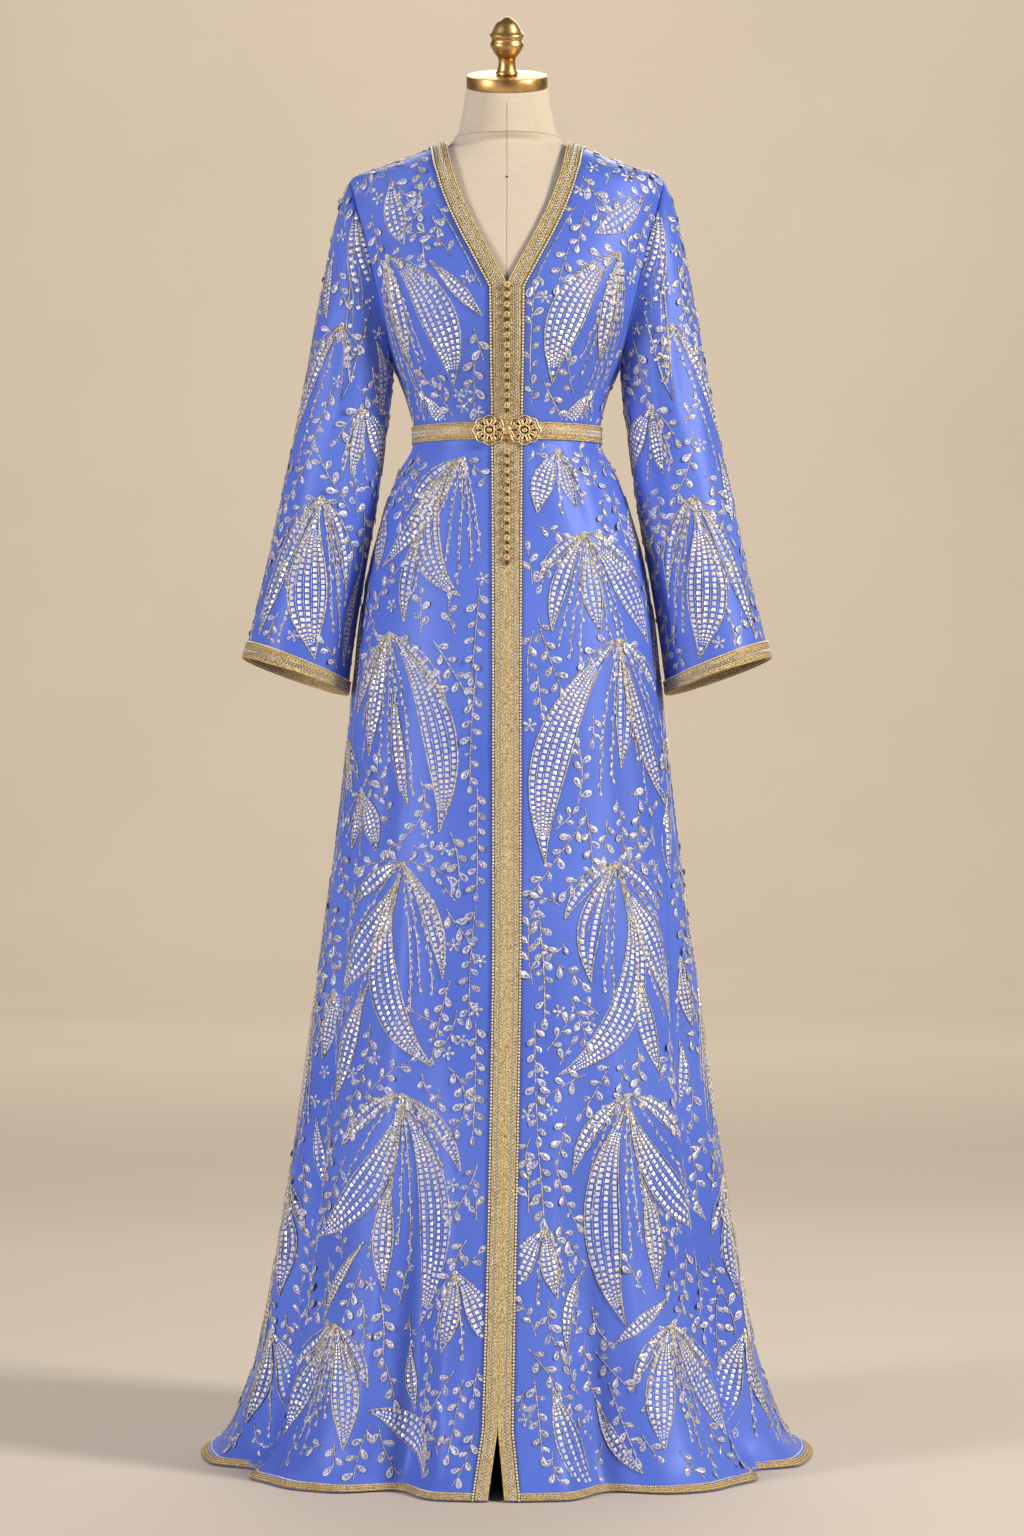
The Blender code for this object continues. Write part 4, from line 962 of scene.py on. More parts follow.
def cuffRing(side, distance):  # a ring round the sleeve, that far up from its edge
    angle = np.arange(cuff["around"]) * 2 * math.pi / cuff["around"]
    along = np.full(cuff["around"], 1 - distance * cuff["alongPerMetre"])
    return sleevePoint(angle, along, side), sleeveNormals(angle, along, side)


for side, name in ((-1, "left"), (1, "right")):
    outer, inner = gap + braid["ground"], cloth["thickness"] + gap  # how far out and in the ground's faces lie
    deepest = inner + braid["ground"]
    top, facing, edge = (cuffRing(side, distance) for distance in (cuff["width"], cuff["facing"], 0.0))
    down = unit(edge[0] - facing[0])
    rings = [
        top[0] + top[1] * gap, edge[0] + edge[1] * gap + down * gap,
        edge[0] - edge[1] * inner + down * gap, facing[0] - facing[1] * inner,
        facing[0] - facing[1] * deepest, edge[0] - edge[1] * deepest + down * outer,
        edge[0] + edge[1] * outer + down * outer, top[0] + top[1] * outer,
    ]
    faces = tubeFaces(len(rings), cuff["around"], True)
    made = meshPiece(f"cuff-band-{name}", np.concatenate(rings), faces, goldGround)
    ready(turnedOut(made), "gold_braid", f"cuff_band_{name}")
    for cords, face, lift in (("cords", 1, outer), ("inside", -1, deepest)):
        for distance, radius in cuff[cords]:
            points, normals = cuffRing(side, distance / 1000)
            goldLines.append((points + normals * face * (lift + radius / 1000 * sunk), radius / 1000, True))
    distance, width, pitch, radius = (value / 1000 for value in cuff["silver"])
    points, normals = cuffRing(side, distance)
    silverLines.append((zigzag(points + normals * (outer + radius * 0.6), normals, width, pitch, True), radius, True))
    distance, size, pitch = (value / 1000 for value in cuff["beads"])
    points, normals = cuffRing(side, distance)
    outerBeads.append((*spaced(points + normals * (outer + size * 0.25), pitch, True, normals), size))

hemTrim = {
    "top": 0.0094, "middle": 0.0055, "around": 150,
    "cords": ((2.9, 0.8), (4.6, 0.75), (6.2, 0.7)), "beads": (8.2, 1.9, 2.7),
}


def hemRun(height, part):  # angles of one stretch of the hem: both fronts and the back
    left, right = (np.interp(height, *reversed(bandRail(side, braid["width"] + gap)[0])) for side in (-1, 1))
    seam = math.radians(float(column(sideSeam, "angle", height)))
    start, end = {"left": (-seam, left), "right": (right, seam), "back": (seam, 2 * math.pi - seam)}[part]
    angle = np.linspace(start, end, hemTrim["around"] if part == "back" else hemTrim["around"] // 4)
    return angle, np.full(len(angle), height)


for part in ("left", "right", "back"):
    rows = [hemRun(height, part) for height in (hemTrim["top"], hemTrim["middle"], cloth["hem"])]
    outer = gap + braid["ground"]
    made = shell(f"hem-band-{part}", *onBody(*(np.stack(values) for values in zip(*rows))), gap, outer, goldGround)
    ready(made, "gold_braid", f"hem_band_{part}")
    for distance, radius in hemTrim["cords"]:
        points, normals = onBody(*hemRun(distance / 1000, part))
        goldLines.append((points + normals * (outer + radius / 2500), radius / 1000, False))
    distance, size, pitch = (value / 1000 for value in hemTrim["beads"])
    points, normals = onBody(*hemRun(distance, part))
    outerBeads.append((*spaced(points + normals * (outer + size * 0.2), pitch, False, normals), size))

print("belt and buckle")

belt = {
    "top": 1.2325, "bottom": 1.2115, "thickness": 0.0017, "around": 160,
    "cords": ((-9.4, 1.0), (-7.5, 0.9), (-5.7, 0.8), (5.7, 0.8), (7.5, 0.9), (9.4, 1.0)),
    "silver": ((-2.1, 3.6, 2.5, 1.0), (2.1, 3.6, 2.5, 1.0)),
    "off": 0.0004, "rise": 0.0016, "riseHalfWidth": 0.0205, "riseEnds": 0.006,  # off the cloth, more under the buckle
    "bevel": 0.0008, "edgeShare": 0.6,
}


def beltRing(up, out):  # a ring that far over the belt's middle and out from the cloth
    angle = np.arange(belt["around"]) * 2 * math.pi / belt["around"]
    height = np.full(belt["around"], (belt["top"] + belt["bottom"]) / 2 + up)
    points, normals = bodyPoint(angle, height), bodyNormals(angle, height)
    level = unit(normals * np.array([1, 1, 0.0]))
    aside = np.hypot(points[:, 0], np.minimum(-points[:, 1] - 0.07, 0))  # the back counts as aside
    near = np.clip((belt["riseHalfWidth"] + belt["riseEnds"] - aside) / belt["riseEnds"], 0, 1)
    lift = belt["off"] + belt["rise"] * near * near * (3 - 2 * near)
    return points + level * (lift + out)[:, None], level


half = (belt["top"] - belt["bottom"]) / 2
thick, flank, flat = belt["thickness"], belt["thickness"] * belt["edgeShare"], half - belt["bevel"]
outline = ((-half, 0), (half, 0), (half, flank), (flat, thick), (-flat, thick), (-half, flank))
rings = [beltRing(up, out)[0] for up, out in outline]
faces = tubeFaces(len(rings), belt["around"], True)
ready(turnedOut(meshPiece("belt-ground", np.concatenate(rings), faces, goldGround)), "gold_braid", "belt")
for up, radius in belt["cords"]:
    points, normals = beltRing(up / 1000, thick + radius / 3000)
    goldLines.append((points, radius / 1000, True))
for up, width, pitch, radius in belt["silver"]:
    points, normals = beltRing(up / 1000, thick + radius / 2000)
    silverLines.append((zigzag(points, normals, width / 1000, pitch / 1000, True), radius / 1000, True))

buckle = {
    "halfWidth": 0.0185, "halfHeight": 0.0172, "offset": 0.0048, "height": 1.222, "wire": 0.00085, "fine": 0.00055,
    "petals": 8, "plate": 0.0007, "wireLift": 0.0010, "grainLift": 0.0014, "stoneLift": 0.0030,
}
rimTurn = np.arange(64) * 2 * math.pi / 64
lobes = 1 + 0.055 * np.cos(buckle["petals"] * rimTurn)


def onWaist(across, height, out):  # in front of the waist: along its curve, and out from it
    reach, front = column(body, "halfWidth", belt["top"]), -column(body, "frontY", belt["top"])
    angle = np.arcsin(np.asarray(across) / reach)
    normal = unit(np.stack([np.sin(angle) / reach, -np.cos(angle) / front, 0 * angle], -1))
    place = np.stack([reach * np.sin(angle), -front * np.cos(angle), 0 * angle], -1)
    place += normal * np.asarray(out)[..., None]
    place[..., 2] = height
    return place


def onPlate(side, x, y, out):  # a place of one half, in half widths and heights from its middle
    across = side * (buckle["halfWidth"] * 1.06 + gap) + x * buckle["halfWidth"]
    return onWaist(across, buckle["height"] + y * buckle["halfHeight"], np.full(x.shape, buckle["offset"] + out))


def buckleWires(side):
    lines, balls = [], []

    def wire(x, y, radius, closed=True, out=0.0):
        lines.append((onPlate(side, x, y, buckle["wireLift"] + out), radius, closed))

    for reach, each, radius, out in ((0.95 * lobes, 1, buckle["wire"] * 1.1, 0), (0.80 * lobes, 1, buckle["fine"], 0),
                                     (0.30, 4, buckle["fine"] * 1.2, 0.0004), (0.14, 8, buckle["fine"] * 1.3, 0.0006)):
        turn = rimTurn[::each]
        wire(reach * np.cos(turn), reach * np.sin(turn), radius, True, out)
    for k in range(buckle["petals"]):
        lean = (k + 0.5) * 2 * math.pi / buckle["petals"]
        t = np.linspace(0, 2 * math.pi, 15)[:-1]
        outer = (0.55 + 0.235 * np.cos(t), 0.165 * np.sin(t) * (0.75 + 0.35 * np.cos(t)))
        inner = (0.60 + 0.11 * np.cos(t[::2]), 0.07 * np.sin(t[::2]))
        for (x, y), radius in ((outer, buckle["fine"] * 1.25), (inner, buckle["fine"])):  # a petal, and one inside it
            wire(x * math.cos(lean) - y * math.sin(lean), x * math.sin(lean) + y * math.cos(lean), radius)
        between = k * 2 * math.pi / buckle["petals"]
        for hand in (-1, 1):  # a pair of scrolls between two petals
            s = np.linspace(0, 1, 9)
            bend = between + hand * (0.05 + 0.20 * np.sin(s * math.pi * 0.9))
            reach = 0.34 + 0.44 * s
            wire(reach * np.cos(bend), reach * np.sin(bend), buckle["fine"], False)
        for reach, at, size in ((0.87, lean, 0.0022), (0.70, between, 0.0020), (0.42, between, 0.0018)):
            balls.append((reach * math.cos(at), reach * math.sin(at), size))
    balls.append((0.0, 0.0, 0.0034))
    return lines, balls


for side, name in ((-1, "left"), (1, "right")):
    lines, balls = buckleWires(side)
    wires = sewCords(f"buckle-{name}", lines, giltMetal, sides=6)
    x, y, size = (np.array(part) for part in zip(*balls))
    grains = sewOn(f"buckle-{name}-grains", beadShape, onPlate(side, x, y, buckle["grainLift"]),
                   np.tile((0.0, -1, 0), (len(x), 1)), np.tile((0.0, 0, 1), (len(x), 1)), size, giltMetal)
    # a dark plate behind the open wires, its colour painted shade in the openings
    rings = [
        onPlate(side, reach * lobes * np.cos(rimTurn), reach * lobes * np.sin(rimTurn), out * buckle["plate"] - gap)
        for reach, out in ((0.88, 0.0), (0.88, 0.5), (0.82, 0.6), (0.02, 0.6))
    ]
    count, top = len(rimTurn), (len(rings) - 1) * len(rimTurn)
    faces = tubeFaces(len(rings), count) + [tuple(range(count - 1, -1, -1)), tuple(range(top, top + count))]
    ready(turnedOut(meshPiece(f"buckle-{name}-plate", np.concatenate(rings), faces, paintedShadeBrass)), "gilt_metal")
    ready(wires, "gilt_metal", f"buckle_{name}")
    ready(grains, "gilt_metal")


def cappedTube(name, rings, ends, finish, sharp=35):  # rings of points, with a fan to each of the two ends
    count, top = len(rings[0]), (len(rings) - 1) * len(rings[0])
    low, high = top + count, top + count + 1
    caps = [f for j in range(count) for f in ((low, (j + 1) % count, j), (high, top + j, top + (j + 1) % count))]
    faces = tubeFaces(len(rings), count) + caps
    return turnedOut(meshPiece(name, np.concatenate([*rings, ends]), faces, finish, sharp))


def revolved(name, profile, count, finish):  # about +Z
    turn = np.arange(count) * 2 * math.pi / count
    rings = [np.stack([r * np.cos(turn), r * np.sin(turn), np.full(count, z)], -1) for z, r in profile]
    return cappedTube(name, rings, [(0, 0, profile[0][0]), (0, 0, profile[-1][0])], finish)


# A collet with a faceted stone over the join of the two plates
stoneProfile = (
    (0, 0.0050), (0.0008, 0.0056), (0.0022, 0.0052), (0.0026, 0.0040), (0.0040, 0.0030), (0.0046, 0.0012),
)
stone = revolved("buckle-stone", stoneProfile, 16, giltMetal)
seat = onWaist(np.zeros(1), buckle["height"], np.array([buckle["offset"] + buckle["stoneLift"]]))[0]
stone.data.transform(Matrix.Translation(Vector(seat)) @ Matrix.Rotation(math.pi / 2, 4, "X"))
ready(stone, "gilt_metal", "buckle_stone")

button = {
    "diameter": 0.0072, "pitch": 0.0114, "fromNeck": 0.0038, "lowest": 1.067, "turns": (3, 4), "cord": 0.00085,
    "clear": 0.022, "off": 0.0024,
}
heights = np.arange(cloth["neckPoint"] - button["fromNeck"], button["lowest"], -button["pitch"])
heights = heights[np.abs(heights - buckle["height"]) > button["clear"]]
middle = (openingAngle(heights, 1) + openingAngle(heights, -1)) / 2
seats, facing = bodyPoint(middle, heights), bodyNormals(middle, heights)
centres = seats + facing * (button["off"] + button["diameter"] / 2)
knots, loops = [], []
for centre, outward in zip(centres, facing):
    side = unit(np.cross((0, 0, 1), outward))
    up = np.cross(outward, side)
    t = np.arange(72) * 2 * math.pi / 72
    lean = 0.62 * np.sin(button["turns"][1] * t)  # a knot wound over and under round the ball
    radius = button["diameter"] / 2 - button["cord"] * (0.7 - 0.35 * np.cos(2 * button["turns"][1] * t))
    ball = np.stack([np.cos(lean) * np.cos(button["turns"][0] * t), np.cos(lean) * np.sin(button["turns"][0] * t),
                     np.sin(lean)], 1) * radius[:, None]
    knots.append((centre + ball @ np.stack([side, up, outward]), button["cord"], True))
    for hand in (-1, 1):
        t = np.linspace(0, 1, 8)[:, None]
        start = centre - outward * button["diameter"] * 0.42
        loops.append((start + hand * side * 0.0075 * t + up * 0.0016 * np.sin(t * math.pi)
                      - outward * 0.0004 * t, 0.0008, False))
    # a dark cord between two balls: painted shade of the gap between the fronts
    between = centre - up * button["pitch"] / 2 - outward * button["diameter"] * 0.40
    t = np.linspace(-1, 1, 7)[:, None]
    paintedShadeLines.append((between + up * 0.0030 * t + side * 0.0004 * np.cos(t * 3), 0.0021, False))
stoodFor = [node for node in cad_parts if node.startswith("button")]
ready(sewCords("button-knots", knots, goldCord, sides=5), "gold_braid", *stoodFor)
ready(sewOn("button-cores", beadShape, centres, facing, np.tile((0.0, 0, 1), (len(centres), 1)),
            button["diameter"] * 0.86, goldGround), "gold_braid")
goldLines += loops

for name, lines, cord in (("braid-cords", goldLines, goldCord), ("braid-shadow-threads", paintedShadeLines, paintedShadeCord),
                          ("silver-rows", silverLines, silverCord)):
    ready(sewCords(name, lines, cord, sides=4), "gold_braid")
beads = [(at, out, np.full(len(at), wide)) for at, out, wide in outerBeads]
places, outward, size = (np.concatenate(part) for part in zip(*beads))
ready(sewOn("braid-beads", beadShape, places, outward, np.tile((0.0, 0.01, 1), (len(places), 1)), size, silverCord),
      "gold_braid")

print("form")

form = {
    "bottom": 0.850, "sides": 72, "inside": 0.0043, "between": 4,  # inside the cloth's own shape; steps between rings
    "rings": (0.850, 0.870, 0.950, 1.040, 1.110, 1.170, 1.220, 1.268, 1.300, 1.335, 1.370, 1.405, 1.440,
              1.475, 1.503, 1.521, 1.530, 1.537, 1.545, 1.553, 1.560, 1.567, 1.5725),
    "capTilt": 17.3, "capCentre": (0.0, -0.012, 1.639), "capRadius": 0.0485, "capThickness": 0.0145,
    "seamSteps": slice(40, 106), "neckSeam": 92, "stitch": 0.0001, "pin": 1.524,
}
formInset = table(
    "height inset",
    (0.850, 0.020), (0.950, 0.011), (1.060, 0.005), (1.180, 0.0022), (1.230, 0.0000), (1.490, 0.0000),
    (1.530, 0.0023), (1.573, 0.0012),
)
formNeck = table(
    "height halfWidth frontY backY tilt",
    (1.5790, 0.0625, -0.0600, 0.0560, 0.0), (1.5880, 0.0582, -0.0595, 0.0520, 3.0),
    (1.6040, 0.0545, -0.0600, 0.0465, 8.0), (1.6210, 0.0512, -0.0605, 0.0405, 13.0),
)


def tilted(angle, radius, up):  # a ring square to the neck's sloping axis
    x, y = radius * np.sin(angle), -radius * np.cos(angle)
    cos, sin = math.cos(math.radians(form["capTilt"])), math.sin(math.radians(form["capTilt"]))
    return np.array(form["capCentre"]) + np.stack([x, y * cos - up * sin, y * sin + up * cos], -1)


angle = np.arange(form["sides"]) * 2 * math.pi / form["sides"]
rings = []
for height in form["rings"]:
    inset = form["inside"] + column(formInset, "inset", height)
    level = np.full(form["sides"], height)
    rings.append(bodyPoint(angle, level, folded=False) - bodyNormals(angle, level) * inset)
rings[0][:, 2] = form["bottom"]
for height, halfWidth, front, back, tilt in zip(*formNeck.values()):
    middle = (front + back) / 2
    y = middle - (back - front) / 2 * np.cos(angle)
    rings.append(np.stack([halfWidth * np.sin(angle), y, height + (y - middle) * math.tan(math.radians(tilt))], -1))
rings.append(tilted(angle, form["capRadius"] + gap, -gap))
rings = np.stack(rings)
steps = np.arange(len(rings), dtype=float)
fine = np.linspace(0, len(rings) - 1, form["between"] * (len(rings) - 1) + 1)
flat = rings.reshape(len(rings), -1)
smooth = np.stack([through(steps, flat[:, k], fine) for k in range(flat.shape[1])], 1).reshape(len(fine), -1, 3)
torso = cappedTube("form-torso", smooth, [smooth[0].mean(0), smooth[-1].mean(0)], creamLinen, 50)
ready(torso, "cream_linen", "form_torso")

# The cover's seams down the centre front and back and round the neck, and a pin at the front
frontRun, backRun = (smooth[form["seamSteps"], at] for at in (0, form["sides"] // 2))
stitch = np.array([0, form["stitch"], 0])
runs = ((frontRun + stitch, False), (backRun - stitch, False), (smooth[form["neckSeam"]], True))
seams = [(run, 0.0005, closed) for run, closed in runs]
ready(sewCords("form-seams", seams, seamThread, sides=4), "cream_linen")
pinPlace = frontRun[np.argmin(np.abs(frontRun[:, 2] - form["pin"]))][None]
pin = sewOn("form-pin", beadShape, pinPlace, np.array([[0.0, -1, 0]]), np.array([[0.0, 0, 1]]), 0.0032, coatedSteel)
ready(pin, "coated_steel")


def tiltedPiece(name, profile, count, finish):
    made = revolved(name, profile, count, finish)
    lean = Matrix.Rotation(math.radians(form["capTilt"]), 4, "X")
    made.data.transform(Matrix.Translation(form["capCentre"]) @ lean)
    return made


radius, thick = form["capRadius"], form["capThickness"]
capProfile = [(0.0, radius - 0.0012), (0.0004, radius - 0.0004), (0.0012, radius), (thick - 0.0016, radius),
              (thick - 0.0005, radius - 0.0005), (thick, radius - 0.0016), (thick, 0.016)]
ready(tiltedPiece("neck-cap", capProfile, 72, satinBrass), "satin_brass", "neck_cap")
finial = table(
    "height radius",
    (0.0000, 0.0120), (0.0018, 0.0134), (0.0070, 0.0112), (0.0162, 0.0100), (0.0191, 0.0104), (0.0272, 0.0160),
    (0.0365, 0.0200), (0.0423, 0.0181), (0.0476, 0.0208), (0.0515, 0.0180), (0.0620, 0.0120), (0.0684, 0.0030),
)
rise = np.linspace(0, finial["height"][-1], 60)
finialProfile = [(thick + gap + z, r) for z, r in zip(rise, column(finial, "radius", rise))]
ready(tiltedPiece("finial-brass", finialProfile, 48, satinBrass), "satin_brass", "finial")

print("embroidery")

embroidery = {
    "outline": 1.05, "vein": 0.48, "stem": 0.72,  # cord radii, mm
    "sequin": 4.5, "pitch": 7.0, "ring": 6.8, "segment": 11.0, "lift": 0.4, "seed": 7, "tries": 13000, "cell": 0.0045,
    "sequinShare": 0.6, "widen": 1.22,  # of the room in its row, and of a leaf's width; then metres
    "leastSequin": 0.0016, "tipSequin": 0.0013, "leastPitch": 0.003, "veinRoom": 0.0026, "shortestCord": 0.028,
    "hemClear": 0.0118, "beltClear": 0.0122, "cuffClear": 0.0225, "sleeveLength": 0.45, "armholeClear": 0.002,
    "cordClear": 0.0008, "pieceClear": 0.0004, "pieceLift": 0.0002, "frontTo": 0.02,
}
motifs = {  # metres and degrees, a least value and what chance adds; points: how many at least, and mm to each
    "strand": {"points": (5, 12), "first": 0.010, "pitch": 0.0092, "lean": (8, 14), "size": (0.0058, 0.0026),
               "away": 0.0006},
    "twig": {"points": (4, 10), "first": 0.008, "pitch": 0.0100, "last": 0.004, "lean": (36, 24), "tip": (-8, 16),
             "size": (0.0115, 0.0045), "away": 0.001},
    "flower": {"petals": 5, "size": 0.0085, "away": 0.0022, "ring": 0.0046},
}
# Small motifs fill what the sprays leave: which, its share of the tries, the shortest that stays, its length and size
filling = {
    "kinds": (
        ("leaf", 0.05, 0.075, (0.08, 0.13), 1.0), ("twig", 1.0, 0.040, (0.06, 0.12), 1.0),
        ("twig", 0.7, 0.022, (0.025, 0.045), 0.85), ("flower", 0.3, 0.008, (0.010, 0.012), 0.8),
    ),
    "parts": {"body": 1.0, "left": 0.16, "right": 0.16}, "steps": 12, "heading": 30, "bend": 34, "upward": 0.25,
    "leafHalf": 0.0062, "twigHalf": 0.0058, "leafWidth": (0.0125, 0.004), "start": 0.005, "room": 0.0005,
    "top": 1.565, "bodice": (1.235, 1.570), "bodiceShare": 0.28,  # more of them over the bodice
}


def surveyed(point, high, turn, columns, rows):  # a surface on a fine grid, to be read between its points
    a, b = np.linspace(-math.pi, math.pi, columns + 1), np.linspace(0, high, rows + 1)
    places = point(a[:, None], b[None])
    around = np.concatenate([places[-2:-1], places, places[1:2]])
    byA = (around[2:] - around[:-2]) / (2 * (a[1] - a[0]))
    byB = np.gradient(places, b, axis=1)
    normals = turn * unit(np.cross(byA, byB))
    return {"high": high, "grid": np.concatenate([places, byA, byB, normals], -1)}


def read(surface, a, b):  # place, slopes both ways and normal
    grid = surface["grid"]
    x = (np.asarray(a) / (2 * math.pi) + 0.5) % 1 * (len(grid) - 1)
    y = np.clip(np.asarray(b) / surface["high"], 0, 1) * (grid.shape[1] - 1)
    i, j = np.minimum(x.astype(int), len(grid) - 2), np.minimum(y.astype(int), grid.shape[1] - 2)
    u, v = (x - i)[..., None], (y - j)[..., None]
    low, high = (grid[i, k] * (1 - u) + grid[i + 1, k] * u for k in (j, j + 1))
    found = low * (1 - v) + high * v
    return found[..., :3], found[..., 3:6], found[..., 6:9], found[..., 9:]


surfaces = {
    "body": surveyed(bodyPoint, cloth["shoulderNeck"], 1, 900, 620),
    "left": surveyed(lambda a, b: sleevePoint(a, b, -1), 1.0, -1, 240, 240),
    "right": surveyed(lambda a, b: sleevePoint(a, b, 1), 1.0, 1, 240, 240),
}
bandEdge = {side: bandRail(side, braid["width"]) for side in (-1, 1)}


def bodyRoom(angle, height):  # how far a place is from the edge of its panel, negative outside
    angle = (angle + math.pi) % (2 * math.pi) - math.pi
    size, right = np.abs(angle), angle >= 0
    half, front, side, back = (column(body, name, height) for name in list(body)[1:])
    radius = np.hypot(half * np.cos(angle), np.where(np.cos(angle) >= 0, side - front, back - side) * np.sin(angle))
    inner = []
    for hand in (-1, 1):
        below, beside, _ = bandEdge[hand]
        inner.append(np.interp(height, np.append(below[1], beside[1]), hand * np.append(below[0], beside[0])))
    inner = np.where(right, inner[1], inner[0])
    middle, reach = ((cloth["shoulderTip"] + way * cloth["underarm"]) / 2 for way in (1, -1))
    turn = np.arccos(np.clip((height - middle) / reach, -1, 1))
    seam = np.radians(column(sideSeam, "angle", height))
    frontSeam, backSeam = (np.where(height < cloth["underarm"], seam, math.pi / 2 + math.radians(scoop) * np.sin(turn))
                           for scoop in (-cloth["frontScoop"], cloth["backScoop"]))
    neck = np.interp(size, *bandEdge[1][2])
    onFront = np.minimum(size - inner, frontSeam - size) * radius
    onBack = np.minimum((size - backSeam) * radius, neck - height)
    room = np.where(size < (frontSeam + backSeam) / 2, onFront, onBack)
    fromBelt = np.abs(height - buckle["height"])
    return np.minimum.reduce([room, height - embroidery["hemClear"], fromBelt - embroidery["beltClear"]])


def sleeveRoom(angle, along):
    fromCuff = (1 - embroidery["cuffClear"] * cuff["alongPerMetre"] - along) / cuff["alongPerMetre"]
    return np.minimum(along * embroidery["sleeveLength"] - embroidery["armholeClear"], fromCuff)


surfaces["body"]["room"] = bodyRoom
surfaces["left"]["room"] = surfaces["right"]["room"] = sleeveRoom


def traceSpines(surface, a, b, heading, length, bend, steps=30):
    # each runs over the cloth from its start; headings are in degrees from straight down
    a, b, heading, length, bend = (np.atleast_1d(np.asarray(v, float)) for v in (a, b, heading, length, bend))
    normal = read(surface, a, b)[3]
    down = unit(np.array([0, 0, -1.0]) - normal * -normal[:, 2:])
    turn = np.radians(heading)[:, None]
    ahead = down * np.cos(turn) + np.cross(normal, down) * np.sin(turn)
    found = []
    for _ in range(steps + 1):
        _, byA, byB, normal = read(surface, a, b)
        ahead = unit(ahead - normal * (ahead * normal).sum(-1, keepdims=True))
        across = np.cross(normal, ahead)
        step, sideways = stepOn(byA, byB, ahead), stepOn(byA, byB, across)
        found.append((a, b, *step, *sideways))
        stride = length / steps
        a, b = a + step[0] * stride, np.clip(b + step[1] * stride, 0, surface["high"])
        turn = np.radians(bend)[:, None] / steps
        ahead = ahead * np.cos(turn) + across * np.sin(turn)
    found = np.array(found)  # step, value, spine
    return [found[:, :, k] for k in range(found.shape[2])]


def onSpine(spine, t, across=0.0, ahead=0.0):
    at = np.clip(np.asarray(t, float), 0, 1) * (len(spine) - 1)
    a, b, stepA, stepB, sideA, sideB = (np.interp(at, np.arange(len(spine)), spine[:, k]) for k in range(6))
    return np.stack([a + stepA * ahead + sideA * across, b + stepB * ahead + sideB * across], -1)


laid = {name: [] for name in surfaces}  # places, radius, closed
sewn = {name: [] for name in surfaces}  # shape, place, place just ahead, size, shade
rng = np.random.default_rng(embroidery["seed"])
origin, cell = np.array([-0.42, -0.40, -0.02]), embroidery["cell"]
taken = np.zeros((190, 180, 362), bool)


def cellsOf(surface, places):
    spots = read(surface, places[..., 0], places[..., 1])[0].reshape(-1, 3)
    return np.clip(((spots - origin) / cell).astype(int), 1, np.array(taken.shape) - 2)


def occupy(surface, places):
    x, y, z = cellsOf(surface, places).T
    for dx, dy, dz in ((0, 0, 0), (1, 0, 0), (-1, 0, 0), (0, 1, 0), (0, -1, 0), (0, 0, 1), (0, 0, -1)):
        taken[x + dx, y + dy, z + dz] = True


def crowded(surface, places):
    x, y, z = cellsOf(surface, places).T
    return taken[x, y, z].reshape(places.shape[:-1])


def lay(where, places, radius, closed=False):
    laid[where].append((places, radius / 1000, closed))


def sew(where, shape, spine, t, across, ahead, size, shade):
    t, across = np.broadcast_arrays(np.atleast_1d(t).astype(float), across)
    here, there = onSpine(spine, t, across, ahead), onSpine(spine, t, across, ahead + 0.001)
    size, shade = np.broadcast_to(size, t.shape), np.broadcast_to(shade, t.shape)
    for item in zip(here, there, size, shade):
        sewn[where].append((shape, *item))


def leafShape(t):  # widest past the middle, pointed at both ends
    return np.sin(math.pi * t**1.18) ** 1.2


def leaf(where, spine, length, width, rows):
    count = max(8, int(length / embroidery["segment"] * 1000))
    t = np.linspace(0, 1, count)
    half = width / 2 * leafShape(t)
    for hand in (-1, 1):
        lay(where, onSpine(spine, t, hand * half), embroidery["outline"])
    wide = t[2 * half / rows > embroidery["veinRoom"]]
    for k in range(1, rows if len(wide) > 2 else 1):
        span, share = np.linspace(wide[0], wide[-1], count), 2 * k / rows - 1
        lay(where, onSpine(spine, span, share * width / 2 * leafShape(span)), embroidery["vein"])

    def stride(size):  # from one sequin to the next, as a share of the leaf
        return max(size * embroidery["pitch"] / embroidery["sequin"], embroidery["leastPitch"]) / length

    for k in range(rows):
        share = (2 * k + 1) / rows - 1
        at, places, sizes = 0.015 + 0.02 * rng.random(), [], []
        while at < 0.975:
            spacing = width / rows * float(leafShape(at))
            size = min(embroidery["sequin"] / 1000, spacing * embroidery["sequinShare"])
            if size > embroidery["leastSequin"]:
                places.append(at)
                sizes.append(size)
            at += stride(size)
        if places:
            places, sizes = np.array(places), np.array(sizes)
            sew(where, "square", spine, places, share * width / 2 * leafShape(places), 0.0, sizes,
                np.clip(0.45 + 0.55 * rng.random(len(places)), 0, 1))
    at = 0.02
    while at < 0.985:  # one row goes on into both tips
        wide = width * float(leafShape(at))
        size = min(embroidery["sequin"] / 1000, wide * 0.5)
        besides = wide / rows * embroidery["sequinShare"] > embroidery["leastSequin"]  # the rows reach here too
        if not besides and size > embroidery["tipSequin"]:
            sew(where, "square", spine, at, 0.0, 0.0, size, 0.8)
        at += stride(size)


def chance(least, more, *count):
    return least + more * rng.random(*count)


def leaflets(where, spine, t, lean, size, away):  # small filled leaves, leaning off the stem
    t, lean, size = np.broadcast_arrays(np.atleast_1d(t).astype(float), lean, size)
    sin, cos = np.sin(np.radians(lean)), np.cos(np.radians(lean))
    here, there = (onSpine(spine, t, reach * sin, reach * cos) for reach in (away, away + 0.001))
    for item in zip(here, there, size, rng.random(len(t))):
        sewn[where].append(("leaflet", *item))


def stemCord(where, spine, length, reach, least, step):
    count = max(least, int(length * reach * 1000 / step))
    lay(where, onSpine(spine, np.linspace(0, reach, count)), embroidery["stem"])


